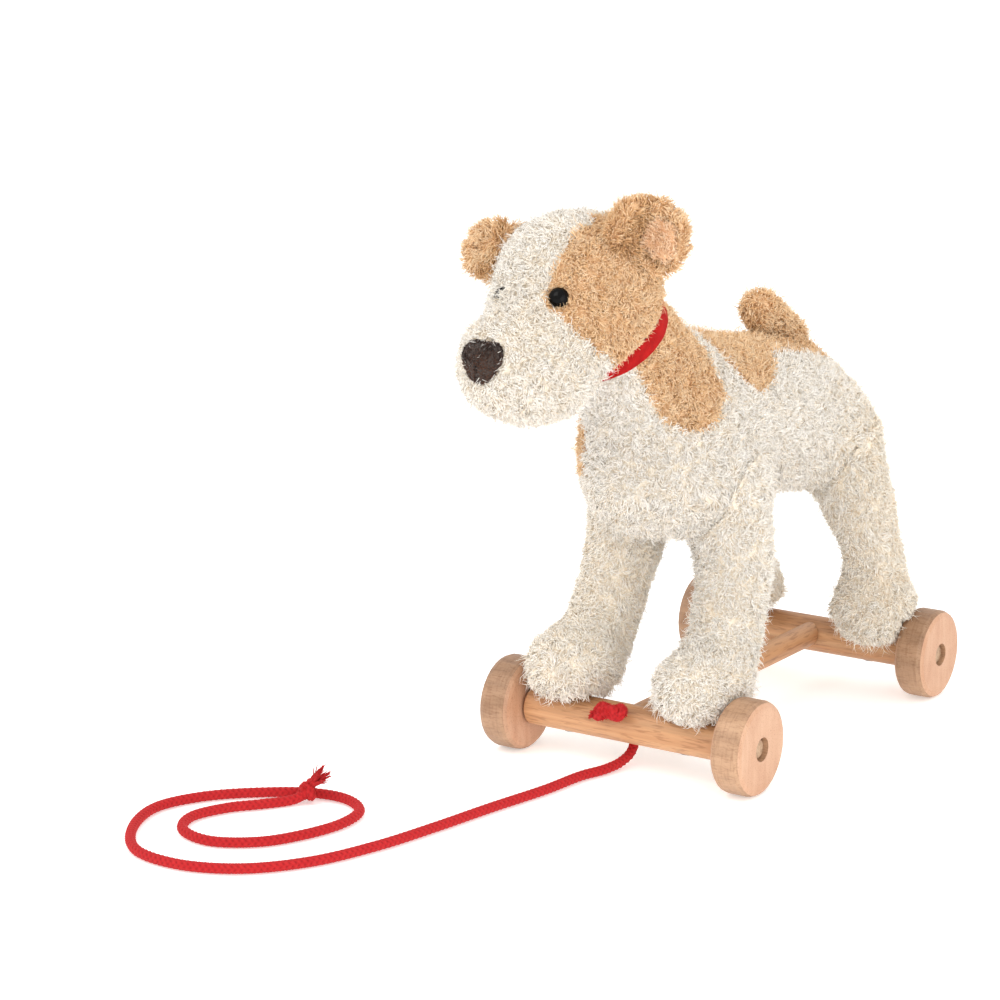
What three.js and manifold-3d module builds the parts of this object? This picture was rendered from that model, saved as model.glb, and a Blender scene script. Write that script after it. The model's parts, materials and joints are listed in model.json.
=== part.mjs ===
// Pull along toy: a plush dog standing on a beech chassis with four wheels and a red pull cord.
// Millimetres, +Z up, the dog faces -Y, its left side is +X, the wheels stand on z = 0.
// It is drawn with y = 0 halfway between the axles, and add() then moves it along Y so that the
// origin lies on the floor under the middle of the toy without its cord.
import * as THREE from "three";
import Module from "manifold-3d";

const wasm = await Module();
wasm.setup();

// ---- driving dimensions ----
const GAP = 0.3; // clearance between neighbouring pieces
const SHIFT_Y = 53.7; // from halfway between the axles to the middle of the toy's length
const WHEEL_R = 22.5, WHEEL_W = 16, WHEEL_OUT = 71.3; // wheel radius, width, x of the outer face
const WHEEL_EDGE_OUT = 3, WHEEL_EDGE_IN = 3.5; // edge roundings
const AXLE_Y = 93; // half of the wheelbase
const BORE_R = 3.4, SINK_R = 5.75, SINK_DEEP = 5; // wheel bore and counterbore
const PEG_R = 3, PEG_HEAD_R = 5.2, PEG_HEAD_H = 2.8, PEG_IN = 37.5; // axle peg, x of its inner end
const BEAM_R = 9.25, BEAM_HALF = 54.4; // cross beams
const SPINE_R = 6, SPINE_Z = 24, TENON_R = 3.5, TENON_END = 87.2; // longitudinal dowel
const CORD_R = 2.5, CORD_X = -2.5, HOLE_TILT = (55 * Math.PI) / 180; // cord and its hole
const POST_X = 32, SCREW_R = 1.9, SCREW_HEAD_R = 4, SCREW_TOP = 47; // paw screws
const BLOCK_R = 10, BLOCK_Z = 38, BLOCK_H = 13; // wooden paw blocks
const PATCH_DEEP = 4; // thickness of a sewn-in plush panel, pile included
const COLLAR = { y: -125.7, z: 216.5, r: 32.4, tilt: (55 * Math.PI) / 180, w: 10, t: 1.4 };
const EYE = { y: -181, r: 4.5, left: [15.4, 240.4, 4], right: [18, 238.4, 4.7] }; // x, z, depth in the pile

const COLORS = {
  wood: "#c79a6b", wheel: "#e2b993", cream: "#efe8da", tan: "#dcb27d", lining: "#e3bd95",
  nose: "#3a2a22", eye: "#0b0b0c", felt: "#b3242a", cord: "#c5282f", steel: "#9b9c9e",
  plastic: "#e8e6e0",
};

const root = new THREE.Group();
root.name = "pull_along_dog";

function add(name, solid, colour) {
  const g = toGeometry(solid).translate(0, SHIFT_Y, 0);
  g.computeVertexNormals();
  const mesh = new THREE.Mesh(g, new THREE.MeshStandardMaterial({ color: COLORS[colour] }));
  mesh.name = name;
  root.add(mesh);
}

// ---- solids and geometries ----
function toSolid(geometry) {
  const g = geometry.index ? geometry.toNonIndexed() : geometry;
  const p = g.getAttribute("position").array;
  const map = new Map(), verts = [], tris = [];
  for (let i = 0; i < p.length; i += 3) {
    const micron = [p[i], p[i + 1], p[i + 2]].map((v) => Math.round(v * 1000)), k = micron.join(",");
    if (!map.has(k)) {
      map.set(k, verts.length / 3);
      verts.push(...micron.map((v) => v / 1000));
    }
    tris.push(map.get(k));
  }
  const keep = [];
  for (let i = 0; i < tris.length; i += 3) {
    const [a, b, c] = [tris[i], tris[i + 1], tris[i + 2]];
    if (a !== b && b !== c && a !== c) keep.push(a, b, c);
  }
  return new wasm.Manifold(new wasm.Mesh({
    numProp: 3, vertProperties: new Float32Array(verts), triVerts: new Uint32Array(keep),
  }));
}

function toGeometry(solid) {
  const m = solid.getMesh(), v = new Float32Array(m.numVert * 3);
  for (let i = 0; i < m.numVert; i++)
    v.set(m.vertProperties.subarray(i * m.numProp, i * m.numProp + 3), i * 3);
  return new THREE.BufferGeometry()
    .setAttribute("position", new THREE.BufferAttribute(v, 3))
    .setIndex(new THREE.BufferAttribute(new Uint32Array(m.triVerts), 1));
}

// The main body of a cut piece, without the slivers a cut can leave.
const biggest = (s) =>
  toSolid(toGeometry(s)).decompose().sort((a, b) => b.volume() - a.volume())[0];

const V2 = (x, y) => new THREE.Vector2(x, y);
const V3 = (x, y, z) => new THREE.Vector3(x, y, z);

// A turned piece: points are [radius, height], its axis goes from +Y to the direction given.
function turned(points, seg, at, dir) {
  const g = new THREE.LatheGeometry(points.map(([r, h]) => V2(r, h)), seg);
  g.applyQuaternion(new THREE.Quaternion().setFromUnitVectors(V3(0, 1, 0), dir.clone().normalize()));
  return g.translate(at.x, at.y, at.z);
}
const rod = (r, len, seg, at, dir, c = 0) =>
  turned(c ? [[0, 0], [r - c, 0], [r, c], [r, len - c], [r - c, len], [0, len]]
    : [[0, 0], [r, 0], [r, len], [0, len]], seg, at, dir);

// A closed skin round the space where field(x, y, z) is negative, on a grid of the given cell.
function blob(field, lo, hi, cell) {
  const n = [0, 1, 2].map((i) => Math.ceil((hi[i] - lo[i]) / cell));
  const at = (i, j, k) => (k * (n[1] + 1) + j) * (n[0] + 1) + i;
  const f = new Float64Array((n[0] + 1) * (n[1] + 1) * (n[2] + 1));
  for (let k = 0; k <= n[2]; k++)
    for (let j = 0; j <= n[1]; j++)
      for (let i = 0; i <= n[0]; i++)
        f[at(i, j, k)] = field(lo[0] + i * cell, lo[1] + j * cell, lo[2] + k * cell);
  const verts = [], index = new Map(), tris = [];
  const corner = [0, 1, 2, 3, 4, 5, 6, 7].map((c) => [c & 1, (c >> 1) & 1, (c >> 2) & 1]);
  for (let k = 0; k < n[2]; k++)
    for (let j = 0; j < n[1]; j++)
      for (let i = 0; i < n[0]; i++) {
        let sx = 0, sy = 0, sz = 0, m = 0;
        for (let a = 0; a < 8; a++)
          for (let axis = 0; axis < 3; axis++) {
            if (corner[a][axis]) continue;
            const b = a | (1 << axis), A = corner[a], B = corner[b];
            const fa = f[at(i + A[0], j + A[1], k + A[2])], fb = f[at(i + B[0], j + B[1], k + B[2])];
            if (fa < 0 === fb < 0) continue;
            const t = fa / (fa - fb);
            sx += A[0] + t * (B[0] - A[0]);
            sy += A[1] + t * (B[1] - A[1]);
            sz += A[2] + t * (B[2] - A[2]);
            m++;
          }
        if (!m) continue;
        const p = [lo[0] + (i + sx / m) * cell, lo[1] + (j + sy / m) * cell, lo[2] + (k + sz / m) * cell];
        for (let step = 0; step < 2; step++) { // slide the vertex onto the surface
          const e = 0.05, v = field(...p);
          const g = [0, 1, 2].map((a) => {
            const q = [...p];
            q[a] += e;
            return (field(...q) - v) / e;
          });
          const gg = g[0] ** 2 + g[1] ** 2 + g[2] ** 2 + 1e-9;
          const s = Math.max(-0.4 * cell, Math.min(0.4 * cell, v)) / gg;
          for (let a = 0; a < 3; a++) p[a] -= s * g[a];
        }
        index.set(at(i, j, k), verts.length / 3);
        verts.push(...p);
      }
  const quad = (a, b, c, d, flip) => {
    const q = [a, b, c, d].map((v) => index.get(v));
    if (flip) q.reverse();
    tris.push(q[0], q[1], q[2], q[0], q[2], q[3]);
  };
  for (let k = 0; k < n[2]; k++)
    for (let j = 0; j < n[1]; j++)
      for (let i = 0; i < n[0]; i++) {
        const o = f[at(i, j, k)] < 0;
        if (j && k && o !== f[at(i + 1, j, k)] < 0)
          quad(at(i, j - 1, k - 1), at(i, j, k - 1), at(i, j, k), at(i, j - 1, k), !o);
        if (i && k && o !== f[at(i, j + 1, k)] < 0)
          quad(at(i - 1, j, k - 1), at(i - 1, j, k), at(i, j, k), at(i, j, k - 1), !o);
        if (i && j && o !== f[at(i, j, k + 1)] < 0)
          quad(at(i - 1, j - 1, k), at(i, j - 1, k), at(i, j, k), at(i - 1, j, k), !o);
      }
  return new wasm.Manifold(new wasm.Mesh({
    numProp: 3, vertProperties: new Float32Array(verts), triVerts: new Uint32Array(tris),
  }));
}

// Distances: a tapering capsule, an ellipsoid, and a soft union.
function cap(x, y, z, a, b, ra, rb) {
  const d = [b[0] - a[0], b[1] - a[1], b[2] - a[2]], q = [x - a[0], y - a[1], z - a[2]];
  const t = Math.max(0, Math.min(1,
    (q[0] * d[0] + q[1] * d[1] + q[2] * d[2]) / (d[0] ** 2 + d[1] ** 2 + d[2] ** 2)));
  return Math.hypot(q[0] - t * d[0], q[1] - t * d[1], q[2] - t * d[2]) - ra - t * (rb - ra);
}
function ell(x, y, z, c, r) {
  const q = [(x - c[0]) / r[0], (y - c[1]) / r[1], (z - c[2]) / r[2]];
  const k0 = Math.hypot(...q), k1 = Math.hypot(q[0] / r[0], q[1] / r[1], q[2] / r[2]) + 1e-6;
  return (k0 * (k0 - 1)) / k1;
}
function soft(a, b, k) {
  const h = Math.max(k - Math.abs(a - b), 0) / k;
  return Math.min(a, b) - (h * h * k) / 4;
}

// ---- chassis ----
const X = V3(1, 0, 0), Y = V3(0, 1, 0), Z = V3(0, 0, 1);
const arc = (cx, cy, r, from, to, n) => Array.from({ length: n + 1 }, (_, i) => {
  const t = from + ((to - from) * i) / n;
  return [cx + r * Math.cos(t), cy + r * Math.sin(t)];
});

// heights along the wheel's axis run from the inner face (0) to the outer face (WHEEL_W)
function wheel(grow = 0) {
  const R = WHEEL_R + grow, W = WHEEL_W + grow, a = WHEEL_EDGE_IN, b = WHEEL_EDGE_OUT;
  const rim = [
    ...arc(R - a, a - grow, a, -Math.PI / 2, 0, 3),
    ...arc(R - b, W - b, b, 0, Math.PI / 2, 2),
  ];
  return grow
    ? [[0, -grow], ...rim, [0, W]]
    : [[BORE_R, 0], ...rim, [SINK_R, W], [SINK_R, W - SINK_DEEP], [BORE_R, W - SINK_DEEP], [BORE_R, 0]];
}
const pegProfile = () => {
  const len = WHEEL_OUT - PEG_IN - SINK_DEEP + 0.4; // shank length up to the head
  return [[0, 0], [PEG_R - 0.8, 0], [PEG_R, 0.8], [PEG_R, len], [PEG_HEAD_R, len],
    [PEG_HEAD_R, len + PEG_HEAD_H - 1], [PEG_HEAD_R - 1.2, len + PEG_HEAD_H], [0, len + PEG_HEAD_H]];
};

const holeDir = V3(0, -Math.cos(HOLE_TILT), Math.sin(HOLE_TILT)); // up and forward, out of the front beam

function screwProfile(grow = 0) { // from under the head up to the tip
  const z0 = WHEEL_R - BEAM_R, h = 2.6, r = SCREW_R + grow, R = SCREW_HEAD_R + grow;
  const top = SCREW_TOP - z0 + grow;
  return grow
    ? [[0, -2], [R, -2], [R, 0.7 + grow], [r, h + 0.5 + grow], [r, top], [0, top]]
    : [[0, 0.3], [R - 0.3, 0.3], [R, 0.7], [r, h + 0.3], [r, top - 3], [0, top]];
}

function beam(sign) {
  const y = sign * AXLE_Y;
  let s = toSolid(rod(BEAM_R, 2 * BEAM_HALF, 32, V3(-BEAM_HALF, y, WHEEL_R), X, 1));
  for (const side of [-1, 1]) {
    s = s.subtract(toSolid(rod(PEG_R + GAP, 40, 16,
      V3(side * (PEG_IN - 0.5), y, WHEEL_R), X.clone().multiplyScalar(side))));
    s = s.subtract(toSolid(turned(screwProfile(GAP), 12, V3(side * POST_X, y, WHEEL_R - BEAM_R), Z)));
  }
  const tenonHole = toSolid(rod(TENON_R + GAP, 30, 16,
    V3(0, sign * (TENON_END + 0.4), SPINE_Z), V3(0, -sign, 0)));
  s = s.subtract(tenonHole);
  if (sign < 0)
    s = s.subtract(toSolid(rod(CORD_R + GAP, 40, 16,
      V3(CORD_X, y, WHEEL_R).addScaledVector(holeDir, -20), holeDir)));
  return s;
}
add("front_beam", beam(-1), "wood");
add("rear_beam", beam(1), "wood");

let spine = toSolid(rod(SPINE_R, 2 * AXLE_Y - 8, 28, V3(0, -AXLE_Y + 4, SPINE_Z), Y));
for (const sign of [-1, 1])
  spine = spine.subtract(toSolid(rod(BEAM_R + GAP, 60, 56, V3(-30, sign * AXLE_Y, WHEEL_R), X)));
spine = spine.add(toSolid(rod(TENON_R, 2 * TENON_END, 16, V3(0, -TENON_END, SPINE_Z), Y)));
add("spine_dowel", spine, "wood");

const SIDES = [["left", 1], ["right", -1]], ENDS = [["front", -1], ["rear", 1]];
for (const [end, ey] of ENDS)
  for (const [side, sx] of SIDES) {
    const out = X.clone().multiplyScalar(sx);
    const inner = V3(sx * (WHEEL_OUT - WHEEL_W), ey * AXLE_Y, WHEEL_R);
    add(`wheel_${end}_${side}`, toSolid(turned(wheel(), 32, inner, out)), "wheel");
    add(`axle_peg_${end}_${side}`,
      toSolid(turned(pegProfile(), 16, V3(sx * PEG_IN, ey * AXLE_Y, WHEEL_R), out)), "wood");
    add(`paw_screw_${end}_${side}`,
      toSolid(turned(screwProfile(), 10, V3(sx * POST_X, ey * AXLE_Y, WHEEL_R - BEAM_R), Z)), "steel");
    const block = toSolid(rod(BLOCK_R, BLOCK_H, 18, V3(sx * POST_X, ey * (AXLE_Y - 4), BLOCK_Z), Z, 1))
      .subtract(toSolid(turned(screwProfile(GAP), 12, V3(sx * POST_X, ey * AXLE_Y, WHEEL_R - BEAM_R), Z)));
    add(`paw_block_${end}_${side}`, block, "wood");
  }

// ---- plush body ----
const cd = [0, -Math.cos(COLLAR.tilt), Math.sin(COLLAR.tilt)]; // neck direction, out of the body
const NECK_CUT = COLLAR.w / 2 - 0.5;
const neckAt = (s) => [0, COLLAR.y + cd[1] * s, COLLAR.z + cd[2] * s];

function torsoField(x, y, z) {
  let d = cap(x, y, z, [0, -52, 165.5], [0, 44, 148], 39.7, 39.7);
  d = soft(d, ell(x, y, z, [0, -68.7, 143.2], [39, 41.9, 36.3]), 14);
  d = soft(d, ell(x, y, z, [0, 68, 139.6], [37.7, 40.3, 29.6]), 14);
  return soft(d, cap(x, y, z, [0, -71.5, 175.4], neckAt(9), 31.3, 30.2), 18);
}
function headField(x, y, z) {
  let d = ell(x, y, z, [0, -139.5, 235], [38.5, 37.9, 37.9]);
  d = soft(d, cap(x, y, z, [0, -160, 213.7], [0, -194.1, 209.6], 27.9, 25.3), 22.9);
  return soft(d, cap(x, y, z, [0, -159, 201], [0, -174, 202.7], 20.5, 23), 12);
}
const legField = (ey) => (sx) => (x, y, z) => {
  const u = x * sx;
  const path = ey < 0
    ? [[[24, -50, 134], [30.2, -48.5, 98], 25, 19], [[30.2, -48.5, 98], [33.4, -61.5, 64], 19, 19]]
    : [[[22, 70, 130], [35, 70 + sx - 1, 100], 24.5, 18.5],
      [[35, 70 + sx - 1, 100], [38.5, 79 + sx, 74], 18.5, 15.7], [[38.5, 79 + sx, 74], [39.5, 82, 52], 15.7, 15.7]];
  let d = 1e9;
  for (const [a, b, ra, rb] of path) d = soft(d, cap(u, y, z, a, b, ra, rb), 6);
  const paw = ey < 0 ? ell(u, y, z, [35.2, -86, 45], [24, 29, 20]) : ell(u, y, z, [38.8, 82, 45], [22.5, 26, 20]);
  return soft(d, paw, 12);
};
const grown = (field, by) => (x, y, z) => field(x, y, z) - by;

const BODY_LO = [-57, -176, 80], BODY_HI = [58, 130, 276], CELL = 11.4;
const HEAD_LO = [-54, -234, 156], HEAD_HI = [54, -84, 292], HEAD_CELL = 9;
const torsoRaw = blob(torsoField, BODY_LO, BODY_HI, CELL);
const torsoGrown = blob(grown(torsoField, GAP + 0.15), BODY_LO, BODY_HI, CELL);
const headRaw = blob(headField, HEAD_LO, HEAD_HI, HEAD_CELL);
const headGrown = blob(grown(headField, GAP + 0.15), HEAD_LO, HEAD_HI, HEAD_CELL);
const torsoCore = blob(grown(torsoField, -PATCH_DEEP), BODY_LO, BODY_HI, CELL);
const headCore = blob(grown(headField, -PATCH_DEEP), HEAD_LO, HEAD_HI, HEAD_CELL);

// Half space beyond the neck joint, as a big disc standing on the joint plane.
const neckDir = V3(...cd);
const beyond = (s) => toSolid(rod(90, 200, 24, V3(...neckAt(s)), neckDir));
let torso = torsoRaw.subtract(beyond(NECK_CUT));
let head = headRaw.subtract(toSolid(rod(46, 70, 40, V3(...neckAt(NECK_CUT + GAP - 70)), neckDir)));

// A prism of a side outline: points are [y, z], from x0 to x1; grow moves every side outwards.
function prism(points, x0, x1, grow = 0) {
  const n = points.length;
  const area = points.reduce((s, p, i) => s + p[0] * points[(i + 1) % n][1] - points[(i + 1) % n][0] * p[1], 0);
  const normal = (i) => {
    const [a, b] = [points[(i + n) % n], points[(i + 1) % n]], l = Math.hypot(b[0] - a[0], b[1] - a[1]);
    return [((b[1] - a[1]) / l) * Math.sign(area), (-(b[0] - a[0]) / l) * Math.sign(area)];
  };
  const shape = new THREE.Shape(points.map(([y, z], i) => {
    const [u, v] = [normal(i - 1), normal(i)], k = grow / (1 + u[0] * v[0] + u[1] * v[1]);
    return V2(y + k * (u[0] + v[0]), z + k * (u[1] + v[1]));
  }));
  const g = new THREE.ExtrudeGeometry(shape, { depth: x1 - x0 + 2 * grow, bevelEnabled: false });
  // shape (x, y) -> (y, z), depth -> x
  const m = new THREE.Matrix4().makeBasis(V3(0, 1, 0), V3(0, 0, 1), V3(1, 0, 0));
  return toSolid(g.applyMatrix4(m).translate(x0 - grow, 0, 0));
}
// Splits a sewn-in panel out of a soft body: [what is left, the panel].
function panel(body, core, points, x0, x1) {
  return [
    body.subtract(prism(points, x0, x1, GAP).subtract(core)),
    body.intersect(prism(points, x0, x1)).subtract(core === headCore ? headUnder : torsoUnder),
  ];
}
// The cores again, a little larger, so that a panel does not touch what is under it.
const headUnder = blob(grown(headField, -PATCH_DEEP + 3 * GAP), HEAD_LO, HEAD_HI, HEAD_CELL);
const torsoUnder = blob(grown(torsoField, -PATCH_DEEP + 3 * GAP), BODY_LO, BODY_HI, CELL);

const EYE_PATCH = [[-96, 280], [-141, 280], [-143, 270], [-156, 265.8], [-164.5, 260.5], [-171, 254.5],
  [-176, 249], [-180, 243.5], [-182.5, 238], [-183, 231.5], [-180.5, 225.5], [-170.5, 216],
  [-157, 209], [-138, 193], [-120, 200], [-96, 236]];
const NECK_PATCH = [[-134, 205], [-128.4, 200.5], [-117, 187.5], [-105, 175.5], [-99, 169.5],
  [-92, 166.3], [-82.5, 167], [-74, 172.5], [-69.5, 180], [-70, 190], [-70.5, 212], [-92, 238], [-110, 231]];
const RUMP_PATCH = [[-58, 214], [-59, 199], [-54, 192], [-49, 184.5], [-43, 178.2], [-31, 176.4],
  [-19, 180], [-9, 184.5], [1, 188], [17, 186.7], [32.7, 183.9], [50, 180], [80, 168], [92, 180], [92, 212]];
const CHEST_PATCH = [[-116, 164], [-80, 166], [-66, 158], [-68, 144], [-84, 140], [-116, 142]];
let eyePatch, neckPatch, rumpPatch, chestPatch;
[head, eyePatch] = panel(head, headCore, EYE_PATCH, 9, 60);
[torso, neckPatch] = panel(torso, torsoCore, NECK_PATCH, 8, 60);
[torso, rumpPatch] = panel(torso, torsoCore, RUMP_PATCH, -60, 60);
[torso, chestPatch] = panel(torso, torsoCore, CHEST_PATCH, -60, -22);

// ---- collar: a felt band round the neck, fastened into a ring ----
const band = (r0, r1, lo, hi, seg) => turned(
  [[r0, lo], [r1, lo], [r1, hi], [r0, hi], [r0, lo]], seg, V3(...neckAt(0)), neckDir);
const CR = COLLAR.r, CW = COLLAR.w / 2;
const collar = toSolid(band(CR - COLLAR.t, CR, -CW, CW - 1.2, 48));
const collarRoom = toSolid(band(CR - COLLAR.t - GAP - 0.1, CR + 30, -CW - GAP, CW + 4, 48));
torso = torso.subtract(collarRoom);
neckPatch = neckPatch.subtract(collarRoom);
add("collar", collar, "felt");

// ---- eyes with their shanks and locking washers ----
const eyeTools = [];
for (const [side, sx] of SIDES) {
  const [out, height, sunk] = EYE[side];
  let p = V3(sx * out, EYE.y, height), n = V3(0, 0, 0);
  for (let i = 0; i < 6; i++) { // settle on the surface of the head
    const v = headField(p.x, p.y, p.z), e = 0.1;
    n.set(headField(p.x + e, p.y, p.z) - v, headField(p.x, p.y + e, p.z) - v,
      headField(p.x, p.y, p.z + e) - v).normalize();
    p.addScaledVector(n, -v);
  }
  n.y -= 0.5;
  n.normalize();
  p.addScaledVector(n, -sunk);
  const dome = (g) => [[0, -7.5 - g], [1.4 + g, -7.5 - g], [1.4 + g, 0 - g], [EYE.r - 0.4 + g, 0 - g],
    [EYE.r + g, 0.9], [EYE.r * 0.94 + g, 1.9], [EYE.r * 0.72 + g, 3], [EYE.r * 0.4 + g, 3.7 + g],
    [0, 3.95 + g]];
  const washer = (g) => [[1.4 + 0.3 - g, -4.4 - g], [5.5 + g, -4.4 - g], [5.5 + g, -3 + g],
    [1.4 + 0.3 - g, -3 + g], [1.4 + 0.3 - g, -4.4 - g]];
  add(`eye_${side}`, toSolid(turned(dome(0), 18, p, n)), "eye");
  add(`eye_washer_${side}`, toSolid(turned(washer(0), 16, p, n)), "plastic");
  eyeTools.push(toSolid(turned(dome(GAP), 16, p, n)), toSolid(turned(washer(GAP), 16, p, n)),
    toSolid(rod(EYE.r + GAP + 0.1, 12, 16, p.clone(), n)));
}
for (const t of eyeTools) {
  head = head.subtract(t);
  eyePatch = eyePatch.subtract(t);
}

// ---- nose: a padded knit patch on the tip of the muzzle ----
const noseField = (x, y, z) => soft(soft(
  ell(x, y, z, [-3, -215.6, 217.5], [6.2, 6.5, 7.2]), ell(x, y, z, [5.5, -215.6, 217.5], [6.2, 6.5, 7.2]), 5),
ell(x, y, z, [1.2, -215.8, 211], [7, 6, 7.2]), 6);
const nose = blob(noseField, [-16, -226, 198], [16, -204, 230], 2.7).subtract(headGrown);
add("nose", nose.decompose().sort((a, b) => b.volume() - a.volume())[0], "nose");

// ---- ears: two pads with a lining on the front, sewn to the sides of the head ----
// Each ear is drawn in its own frame (u outwards, v forwards, w up from the root) and then placed.
function ear(spec) {
  const { root: o, outward, up, side } = spec;
  const w = V3(...up).normalize(), u = V3(...outward).addScaledVector(w, -V3(...outward).dot(w)).normalize();
  const v = new THREE.Vector3().crossVectors(w, u).multiplyScalar(side > 0 ? -1 : 1);
  const local = (x, y, z) => {
    const q = V3(x - o[0], y - o[1], z - o[2]);
    return [q.dot(u), q.dot(v), q.dot(w)];
  };
  const flap = (x, y, z) => {
    const [a, b, c] = local(x, y, z);
    const leaf = ell(a, b, c, [0, 0, spec.h * 0.5], [spec.w / 2, 7.5, spec.h * 0.56]);
    const fold = ell(a, b, c, [-spec.w * 0.26, 5, spec.h * 0.5], [spec.w * 0.24, 7, spec.h * 0.42]);
    return soft(leaf, fold, 5);
  };
  const inset = (x, y, z) => {
    const [a, b, c] = local(x, y, z);
    return ell(a, b, c, [spec.w * 0.14, 7.2, spec.h * 0.56], [spec.w * 0.26, 3.2, spec.h * 0.32]);
  };
  const c = local(0, 0, 0) && [o[0] + w.x * spec.h / 2, o[1] + w.y * spec.h / 2, o[2] + w.z * spec.h / 2];
  const lo = c.map((q) => q - 34), hi = c.map((q) => q + 34);
  return { flap: blob(flap, lo, hi, 5.3), inset: blob(inset, lo, hi, 3.1),
    insetRoom: blob(grown(inset, GAP + 0.3), lo, hi, 3.1) };
}
const EARS = {
  left: { root: [32.5, -142, 247], outward: [1, 0.15, 0], up: [0.42, -0.12, 1], w: 36.4, h: 34.4, side: 1 },
  right: { root: [-28, -142, 257.5], outward: [-0.5, -0.1, 1], up: [-1, -0.1, -0.5], w: 26.5, h: 31, side: -1 },
};
for (const side of ["left", "right"]) {
  const e = ear(EARS[side]);
  add(`ear_${side}`, biggest(e.flap.subtract(headGrown).subtract(e.insetRoom)), "tan");
  add(`ear_lining_${side}`, biggest(e.inset.subtract(headGrown)), "lining");
}

// ---- tail ----
const tailField = (x, y, z) => soft(cap(x, y, z, [0, 66, 166], [0, 52, 189], 9.5, 8.6),
  cap(x, y, z, [0, 52, 189], [0, 25.5, 203.5], 8.2, 10), 4);
add("tail", biggest(blob(tailField, [-18, 10, 144], [18, 106, 224], 4.8).subtract(torsoGrown)), "tan");

// ---- legs: each one a stuffed tube with its paw, over a wooden block ----
function beamRoom(ey) {
  return toSolid(rod(BEAM_R + GAP, 2 * BEAM_HALF + 2, 40, V3(-BEAM_HALF - 1, ey * AXLE_Y, WHEEL_R), X));
}
for (const [end, ey] of ENDS)
  for (const [side, sx] of SIDES) {
    const lo = [sx > 0 ? -20 : -66, ey < 0 ? -122 : 24, 12], hi = [sx > 0 ? 72 : 24, ey < 0 ? -6 : 130, 184];
    let leg = blob(legField(ey)(sx), lo, hi, 9.8).subtract(torsoGrown).subtract(beamRoom(ey));
    const inner = V3(sx * (WHEEL_OUT - WHEEL_W), ey * AXLE_Y, WHEEL_R);
    leg = leg.subtract(toSolid(turned(wheel(0.9), 32, inner, X.clone().multiplyScalar(sx))));
    leg = leg.subtract(toSolid(rod(BLOCK_R + GAP, BLOCK_H + GAP + 9, 24,
      V3(sx * POST_X, ey * (AXLE_Y - 4), BLOCK_Z - 9), Z)));
    leg = leg.subtract(toSolid(rod(40, 20, 24, V3(sx * 34, ey * AXLE_Y, 25.5), V3(0, 0, -1))));
    add(`leg_${end}_${side}`, biggest(leg), "cream");
  }

add("torso", biggest(torso), "cream");
add("head", biggest(head), "cream");
add("eye_patch", biggest(eyePatch), "tan");
add("neck_patch", biggest(neckPatch), "tan");
add("rump_patch", biggest(rumpPatch), "tan");
add("chest_patch", biggest(chestPatch), "tan");

// ---- pull cord, from its hole in the front beam along the floor to the end knot ----
const FLOOR = CORD_R + 0.15;
const hole = (s) => V3(CORD_X, -AXLE_Y, WHEEL_R).addScaledVector(holeDir, s);
const ROUTE = [
  [-5, -107], [-9, -120.4], [-12, -146], [-19, -181.9], [-25, -217.5], [-32, -250.5],
  [-44, -282.5], [-63, -305.5], [-88, -316.5], [-115, -313.5], [-135, -293.5], [-145, -265.5],
  [-137, -242.5], [-118, -222.5], [-98, -210], [-80, -208.5], [-66, -217.5], [-62, -234.5],
  [-67, -256.5], [-78, -275.5], [-97, -286.5], [-116, -281.5], [-123.5, -266.5], [-118, -248.5],
  [-108, -235.5], [-100.5, -224.5],
];
const path = new THREE.CatmullRomCurve3([
  hole(9), hole(0), hole(-9.5), V3(-2.5, -84.4, 10.2), V3(-2.6, -87.5, 6), V3(-3.4, -95, 3.3),
  ...ROUTE.map(([x, y]) => V3(x, y, FLOOR)),
], false, "centripetal");
const circle = new THREE.Shape(Array.from({ length: 8 }, (_, i) => {
  const t = ((i + 0.5) * Math.PI) / 4;
  return V2(CORD_R * Math.cos(t), CORD_R * Math.sin(t));
}));
add("pull_cord", toSolid(new THREE.ExtrudeGeometry(circle, {
  steps: 70, extrudePath: path, bevelEnabled: false })), "cord");

const beamKnot = (x, y, z) => soft(ell(x, y, z, [-7.6, -104.4, 29.6], [5, 4.3, 4.6]),
  ell(x, y, z, [0.8, -104, 30.4], [5.4, 4.5, 4.8]), 3);
const beamCut = toSolid(rod(BEAM_R + GAP, 60, 56, V3(-30, -AXLE_Y, WHEEL_R), X));
add("beam_knot", biggest(blob(beamKnot, [-17, -112, 20], [11, -94, 41], 2.3).subtract(beamCut)), "cord");

const END = [-96, -217.6, 5.1];
const endKnot = (x, y, z) => soft(ell(x, y, z, END, [4.6, 3.9, 4.7]),
  ell(x, y, z, [END[0] + 1, END[1] + 0.3, END[2] + 2.4], [3.6, 3.4, 3.2]), 2);
add("end_knot", blob(endKnot, [-105, -225, -2], [-86, -209, 17], 2.2), "cord");
const tassel = turned([[0, 0], [1.8, 0], [2.6, 3], [4, 7], [5.4, 11], [0, 11.8]], 14,
  V3(END[0] + 3.2, END[1] + 0.6, END[2] + 6.2), V3(0.75, 0.15, 0.8));
add("end_tassel", toSolid(tassel), "cord");

export default root;
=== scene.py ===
"""Looks of the pull along toy dog: cord, wood, sewn plush with its pile, eyes, nose, collar and a studio."""

import json
import math

import bpy
import numpy as np
from mathutils import Matrix, Vector
from mathutils.bvhtree import BVHTree
from mathutils.kdtree import KDTree

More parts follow.
